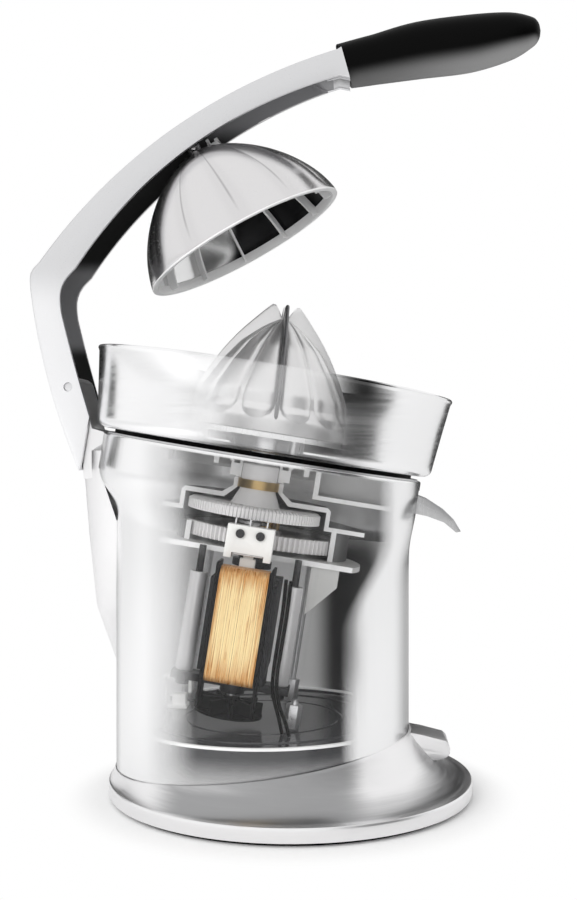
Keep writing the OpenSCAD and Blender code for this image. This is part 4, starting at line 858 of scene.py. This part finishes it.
def arm():
    knee_top, knee_low = (-142, 303), (-120.8, 299.3)
    leg_out = arc_points((-119, 184.7), (-137, 236), (-146.5, 283), 40)
    top_out = arc_points(knee_top, (-79, 368.5), (27.3, 424), 60)
    knee_out = curve_through([(-146.5, 283), (-147.3, 290), (-147.3, 295.5), (-145.6, 299.3), knee_top], 12)
    leg_in = arc_points((-112.8, 214.9), (-121.5, 245), (-128.9, 274), 30)
    knee_in = curve_through([(-128.9, 274), (-129.7, 281), (-129.2, 287.5), (-126.2, 293.6), knee_low], 12)
    top_in = arc_points(knee_low, (-61.3, 363.2), (28.4, 408.4), 60)
    out = np.vstack([
        even(leg_out[:17], 12), even(leg_out[16:], 20)[1:], even(knee_out, 9)[1:], even(top_out, 52)[1:],
        even([(27.3, 424), (29.3, 425.4)], 3)[1:],
    ])
    inn = np.vstack([
        even([(-117.9, 184.9), (-112.8, 214.9)], 12), even(leg_in, 20)[1:], even(knee_in, 9)[1:],
        even(top_in, 52)[1:], even([(28.4, 408.4), (34.4, 407)], 3)[1:],
    ])
    half = np.interp(out[:, 0], [-150, -100, -70, -40, 0, 40], [22, 22, 20.8, 18.6, 15.5, 12.6])
    walls = np.minimum(3.0, half * 0.4)
    rings = []
    for a, b, h, wall in zip(out, inn, half, walls):
        size = np.linalg.norm(b - a)
        d = (b - a) / size
        back = min(3.5, size * 0.5)
        close = np.clip((a[0] - 4) / 17, 0, 1)
        back = back + (size - 0.35 - back) * (close * close * (3 - 2 * close))
        curl = min(2.4, size * 0.3)
        section = [
            (0, -h + curl), (0.16 * curl, -h + 0.4 * curl), (0.5 * curl, -h + 0.12 * curl), (curl, -h),
            (size * 0.5, -h), (size - 0.7, -h), (size - 0.2, -h + 0.25), (size, -h + 0.8),
            (size, -h + wall - 0.5), (size - 0.3, -h + wall), (back + 1.2, -h + wall),
            (back + 0.3, -h + wall + 0.4), (back, -h + wall + 1.4), (back, 0),
        ]
        section += [(q, -y) for q, y in section[::-1][1:]]
        rings.append([(a[0] + d[0] * q, y, a[1] + d[1] * q) for q, y in section])
    shell = loft(rings, cap_start=True, cap_end=True)
    hole = rod_y(*HINGE, 2.55, 60, 40)
    made = piece(
        "arm_shell", *shell, LOOKS["arm_satin"], "lever_arm", "cast_metal", ("arm",), sharp=38, cut=[hole],
    )
    # The channel's inner faces get the painted shade material
    made.data.materials.append(LOOKS["channel_dark"].mat)
    middle = (out + inn) / 2
    for f in made.data.polygons:
        centre = f.center * 1000
        k = int(np.argmin((middle[:, 0] - centre.x) ** 2 + (middle[:, 1] - centre.z) ** 2))
        d = inn[k] - out[k]
        size = np.linalg.norm(d)
        depth = ((centre.x - out[k, 0]) * d[0] + (centre.z - out[k, 1]) * d[1]) / size
        inside = abs(centre.y) < half[k] - walls[k] + 0.6
        inward = (f.normal.x * d[0] + f.normal.z * d[1]) / size > -0.3
        if inside and inward and 2.5 < depth < size - 0.15 and out[k, 0] < 20:
            f.material_index = 1


def arm_look():
    """Satin metal, with painted shade a little darker above the knee."""
    look = cast("arm_satin", (0.86, 0.86, 0.87), 0.32, 0.9, 0.12)
    z = look.axes()[2]
    # Painted shade above the knee
    shade = look.plus(look.ramp(z, 0.27, 0.31), look.times(look.noise(18, 4.0), 0.06))
    look.vary_colour(shade, (0.87, 0.87, 0.88), (0.68, 0.68, 0.69), 0.0, 1.0)
    return look


def channel_look():
    """The hollow side of the arm in painted shade, with painted reflection making it grey at its upper end
    and just under the knee.
    """
    look = cast("channel_dark", (0.1, 0.1, 0.1), 0.4, 0.1, 0.3)
    z = look.axes()[2]
    # Painted reflection: grey at the upper end and under the knee
    upper = look.ramp(z, 0.372, 0.395)
    under_knee = look.times(look.ramp(z, 0.312, 0.298), look.ramp(z, 0.25, 0.263))
    shade = look.plus(look.plus(upper, under_knee), look.times(look.noise(40, 3.0), 0.05))
    look.vary_colour(shade, (0.003, 0.003, 0.003), (0.27, 0.27, 0.28), 0.03, 1.0)
    return look


LOOKS["arm_satin"] = arm_look()
LOOKS["channel_dark"] = channel_look()


# Grip
def grip_look():
    """Black, with a painted soft grey sheen on the underside towards the end."""
    look = moulded("grip_black", (0.002, 0.002, 0.002), 0.42, 0.2)
    look.shader.inputs["Specular IOR Level"].default_value = DULL
    # Painted sheen on faces that look down, stronger towards the end
    down = look.ramp(look.facing_up(), -0.1, -1.0)
    end = look.ramp(look.axes()[0], 0.03, 0.15)
    share = look.times(down, look.plus(look.times(end, 0.5), 0.5))
    share = look.plus(share, look.times(look.noise(900, 3.0), 0.02))
    look.vary_colour(share, (0.001, 0.001, 0.001), (0.3, 0.3, 0.3), 0.05, 1.0)
    return look


def grip():
    grip_end = 143.2
    x = np.array([31, 48, 73, 102.5, 125.5, 137.5, 141.5, 143.0])
    z = np.array([417.6, 421, 425.8, 429.2, 433, 435.2, 435.8, 436.0])
    high = np.array([12, 13.6, 15.5, 15.6, 12.8, 8.4, 5.2, 0.8])
    wide = np.array([12.2, 13.6, 15, 15.6, 14, 10, 6.2, 1.0])
    line = curve_through(np.stack([x, z, high, wide], -1), 80)
    angle = whole_turn(64)
    c, s = np.cos(angle), np.sin(angle)
    power = 2 / 2.2
    sx, sy = np.sign(s) * np.abs(s) ** power, np.sign(c) * np.abs(c) ** power
    rings = []
    for px, pz, ph, pw in line:
        shear = np.interp(px, (31, 48), (-0.3839, -0.1051))
        rings.append(np.stack([px + ph * sx * shear, pw * sy, pz + ph * sx], -1))
    rings = np.array(rings)
    rings[:, :, 0] = np.minimum(rings[:, :, 0], grip_end)
    first = rings[0].mean(0)
    lip = first + (rings[0] - first) * 0.94
    lip[:, 0] -= 0.5
    rings = np.concatenate([lip[None], rings])
    body = loft(rings, cap_start=True, cap_end=True)
    piece("grip_body", *body, grip_look(), "lever_arm", "black_grip", ("grip",), sharp=50)


# Winding
def winding():
    """Fine wire in two layers on the bobbin, six points to each corner of a loop."""
    deep, high, corner, wire = 9.7, 30.7, 5.0, 0.3
    wide, flange, step = 28, 0.9, 0.4
    middle = (5, -55.3, -90.2)
    around = 24

    def race(k, a, b):
        q = k // 6
        t = math.radians(90 * q + 18 * (k % 6))
        sx = 1 if q in (0, 3) else -1
        sy = 1 if q < 2 else -1
        return sx * (a - corner) + corner * math.cos(t), sy * (b - corner) + corner * math.sin(t), t

    parts = []
    for layer, (loops, inset) in enumerate(((46, 0.0), (40, 0.55))):
        edge = flange + step * layer
        pitch = (wide - 2 * edge) / loops
        rings = []
        for i in range(loops * around + 1):
            p, q, t = race(i % around, deep - inset, high - inset)
            wobble = 0.06 * math.sin(i * 0.37 + layer)
            centre = np.array([edge - wide / 2 + pitch * i / around + wobble, p, q]) + middle
            side = np.array([0, math.cos(t), math.sin(t)])
            along = np.array([1.0, 0, 0])
            ring = [centre + wire * (math.cos(j) * side + math.sin(j) * along) for j in whole_turn(6)]
            rings.append([lean(*point) for point in ring])
        parts.append(loft(rings, cap_start=True, cap_end=True))
    coil = joined(*parts)
    piece("winding_fine", *coil, LOOKS["copper"], "base", "copper", ("coil_winding",), sharp=80)


def leads():
    def over_deck(u, v, height):
        return u, v, (DECK_Z - TOP_Z + u * math.sin(LEAN)) / math.cos(LEAN) + height

    first = [(26.6, -54, -62), (27.4, -54, -80), (27.4, -52, -112), (29, -48, -125)]
    first += [over_deck(34, -45, 9), over_deck(37, -44, 0.35)]
    second = [(29.4, -57, -62), (30, -57, -82), (30, -56, -114), (33, -54, -128)]
    second += [over_deck(38, -50.5, 8), over_deck(41, -49, 0.35)]
    both = joined(*(tube(lean(*curve_through(path, 40).T), 1.0, 14) for path in (first, second)))
    piece("leads_black", *both, LOOKS["wire_black"], "base", "wire_black", ("switch_wires",), sharp=60)


# Pieces that the photograph shows cut open: the far half is solid, the near half clear
def opened(node, body, look, clear_look, at=0.0):
    shape = cad_shape(node)
    slot = slot_of(node)
    near_side = block((-300, -300, -50), (300, at, 500))
    far_side = block((-300, at - 0.08, -50), (300, 300, 500))
    piece(
        node + "_far", *shape, look, body, slot, (node,), 30.0, cut=[near_side], cut_look=LOOKS["cut_face"],
    )
    let_light_in(piece(node + "_near", *shape, clear_look, body, slot, sharp=30.0, cut=[far_side]))


def let_light_in(made):
    """Light for what lies behind a see-through piece passes it, as in the photograph."""
    made.visible_shadow = False
    made.visible_diffuse = False


def inside():
    clear = near_half_look("near_half_clear", (0.9, 0.9, 0.9))
    # Painted shade: the gear case's far half is dark for the shade inside the chamber
    painted_shade_case = cast("case_inside", (0.1, 0.1, 0.1), 0.5, 0.1, 0.6)
    opened("gear_case", "base", painted_shade_case, clear)
    opened("top_cover", "base", LOOKS["cover_plastic"], clear)
    opened("shaft_seal", "base", LOOKS["white_plastic"], clear)
    opened("mounting_plate", "base", LOOKS["case_cast"], clear, -14.5)
    opened("cover_screws", "base", LOOKS["steel_part"], clear)
    let_light_in(refine("case_screws", "base", 0.0, clear))
    satin = cast("sleeve_satin", (0.74, 0.735, 0.74), 0.35, 0.4, 0.2)
    rods = cast("rod_satin", (0.8, 0.8, 0.81), 0.3, 0.8, 0.2)
    _, depth, height = rods.leaning()
    upper_near = rods.times(rods.ramp(depth, -0.004, -0.012), rods.ramp(height, -0.131, -0.128))
    rods.clear(rods.times(upper_near, MOST_CLEAR))
    let_light_in(refine("tie_rods", "base", 0.3, rods))
    looks = {"motor_sleeves": satin, "output_gear": ridged_look(), "spout": spout_look()}
    for node, body, width in (
        ("microswitch", "base", 0.35), ("switch_screws", "base", 0.2), ("switch_lever", "base", 0.15),
        ("switch_plunger", "plunger", 0.3), ("motor_bracket", "base", 0.4), ("motor_sleeves", "base", 0.4),
        ("sleeve_bolts", "base", 0.3), ("terminal_bracket", "base", 0.3), ("coil_bobbin", "base", 0.3),
        ("stator_core", "base", 0.3), ("big_gear", "counter", 0.12), ("output_gear", "output", 0.12),
        ("power_paddle", "paddle", 0.9), ("spout", "drip_spout", 0.35), ("hinge_column", "base", 0.0),
        ("rubber_ring", "base", 0.5), ("swivel_pin", "lever_arm", 0.3), ("hinge_pin", "lever_arm", 0.3),
    ):
        refine(node, body, width, looks.get(node))


def spout_look():
    """Steel with painted shade: darker where it faces up and lighter on its sides."""
    look = brushed("spout_steel", (0.4, 0.4, 0.405), 0.3)
    # Painted shade on faces that look up
    shade = look.plus(look.ramp(look.facing_up(), -0.1, 0.5), look.times(look.noise(30), 0.1))
    look.vary_colour(shade, (0.5, 0.5, 0.505), (0.14, 0.14, 0.142), 0.0, 1.0)
    return look


def ridged_look():
    """The output gear's rim with fine upright ridges."""
    look = moulded("gear_ridged", (0.86, 0.85, 0.85), 0.45, 0.2)
    across, depth, _ = look.leaning()
    turn = look.math("ARCTAN2", depth, across)
    ridge = look.math("SINE", look.times(turn, 110.0))
    outside = look.ramp(look.reach(across, depth), 0.03, 0.033)
    look.bump(look.times(ridge, outside), 1.0, 0.0004)
    return look


def lining():
    """The pale inner face of the housing's far side, with a painted shade zone right of the middle, low
    down.
    """
    turn = np.linspace(math.radians(12), math.radians(168), 90)
    c, s = np.cos(turn), np.sin(turn)
    r = BODY_R - SHEET - 0.2
    levels = np.linspace(DECK_Z + 1.7, 139.7, 12)
    rings = [plain(AXIS_X + r * c, r * s, z) for z in levels]
    look = Look("lining_pale", (0.9, 0.9, 0.9), 0.0, 0.35)
    x, _, z = look.axes()
    # Painted shade: a dark zone right of the middle, below about 0.12 m
    band = look.times(look.ramp(x, 0.004, 0.03), look.ramp(x, 0.062, 0.042))
    low = look.times(band, look.ramp(z, 0.16, 0.12))
    shade = look.plus(low, look.times(look.noise(40, 2.0), 0.06))
    look.vary_colour(shade, (0.92, 0.92, 0.92), (0.05, 0.05, 0.052), 0.05, 0.95)
    look.bump(look.noise(900, 2.0), 0.05, 0.00003)
    piece("housing_lining", *loft(rings, closed_rings=False), look, "base", "steel_brushed", sharp=60)


# Studio
def sheet(name, width, height, look):
    """A flat rectangle, in metres."""
    w, h = width / 2, height / 2
    mesh = bpy.data.meshes.new(name)
    mesh.from_pydata([(-w, -h, 0), (w, -h, 0), (w, h, 0), (-w, h, 0)], [], [(0, 1, 2, 3)])
    mesh.materials.append(look.mat)
    return new_object(name, mesh)


def floor():
    """White, with the object's shadow, and even white from a short way out."""
    look = Look("floor_white", (0.94, 0.94, 0.94), 0.0, 0.6)
    look.set(look.shader, "Specular IOR Level", 0.2)
    cloud = look.noise(3, 2.0)
    look.vary_colour(cloud, (0.935, 0.935, 0.935), (0.95, 0.95, 0.95))
    far = look.node("ShaderNodeVectorMath", output=1, operation="LENGTH", in_0=look.here())
    away = look.ramp(far, 0.101, 0.132)
    light = look.node("ShaderNodeLightPath", output=0)
    glow = look.tree.nodes.new("ShaderNodeEmission")
    glow.inputs[0].default_value = (1, 1, 1, 1)
    look.mixed(look.times(away, light), glow)
    sheet("floor", 16, 16, look)


def card(name, place, turn, width, height, grey=0.02):
    """A dark card that only mirrors in the metal."""
    made = sheet(name, width, height, Look(name + "_look", (grey, grey, grey), 0.0, 0.9))
    made.location = place
    made.rotation_euler = turn
    made.visible_camera = False
    made.visible_diffuse = False
    made.visible_shadow = False
    made.visible_transmission = False


def lamp(name, place, target, size, power):
    data = bpy.data.lights.new(name, "AREA")
    data.shape = "RECTANGLE"
    data.size, data.size_y = size
    data.energy = power
    made = new_object(name, data)
    made.location = place
    made.rotation_mode = "QUATERNION"
    made.rotation_quaternion = (Vector(target) - Vector(place)).to_track_quat("-Z", "Y")
    made.visible_glossy = False


def studio():
    """A white room that is a little less bright for the light it sheds than for the eye."""
    floor()
    world = bpy.data.worlds.new("studio")
    bpy.context.scene.world = world
    world.use_nodes = True
    tree = world.node_tree
    back = tree.nodes["Background"]
    back.inputs[0].default_value = (1, 1, 1, 1)
    path = tree.nodes.new("ShaderNodeLightPath")
    total = path.outputs["Is Camera Ray"]
    for output in ("Is Glossy Ray", "Is Transmission Ray"):
        add = tree.nodes.new("ShaderNodeMath")
        add.operation = "MAXIMUM"
        tree.links.new(total, add.inputs[0])
        tree.links.new(path.outputs[output], add.inputs[1])
        total = add.outputs[0]
    level = tree.nodes.new("ShaderNodeMapRange")
    level.inputs[3].default_value = 0.86
    level.inputs[4].default_value = 1.0
    tree.links.new(total, level.inputs[0])
    tree.links.new(level.outputs[0], back.inputs[1])
    lamp("key", (-0.9, -1.2, 1.0), (0, 0, 0.2), (1.4, 1.4), 14)
    card("flag_right", (0.95, -0.6, 0.25), (1.45, 0, 1.01), 0.9, 1.1)
    card("flag_back", (0.07, 1.3, 0.35), (math.pi / 2, 0, math.pi), 1.7, 2.4)
    card("flag_left", (-1.35, 1.15, 0.85), (math.pi / 2, 0, math.pi + 0.45), 1.25, 1.2)
    card("flag_floor", (0.5, -0.4, 0.003), (0, 0, 0.9), 0.5, 0.42, 0.06)


def camera():
    """The photograph's camera. Its focal length and picture height are in the photograph's pixels."""
    focal, picture_height = 1205, 900
    data = bpy.data.cameras.new("camera")
    data.sensor_width = 36
    data.lens = focal * data.sensor_width / picture_height
    made = new_object("camera", data)
    azimuth, away, height = math.radians(3.14), 0.697, 0.1963
    made.location = (-0.0012 + away * math.sin(azimuth), -away * math.cos(azimuth), height)
    made.rotation_euler = (math.pi / 2, 0, azimuth)
    data.clip_start, data.clip_end = 0.01, 50
    bpy.context.scene.camera = made


for name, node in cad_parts.items():
    if slot_of(name) in LOOKS:
        node.data.materials[0] = LOOKS[slot_of(name)].mat

housing()
base()
bowl()
cone()
dome()
arm()
grip()
winding()
leads()
inside()
lining()
studio()
camera()
bpy.context.scene.view_settings.view_transform = "Standard"
bpy.context.scene.cycles.transparent_max_bounces = 32
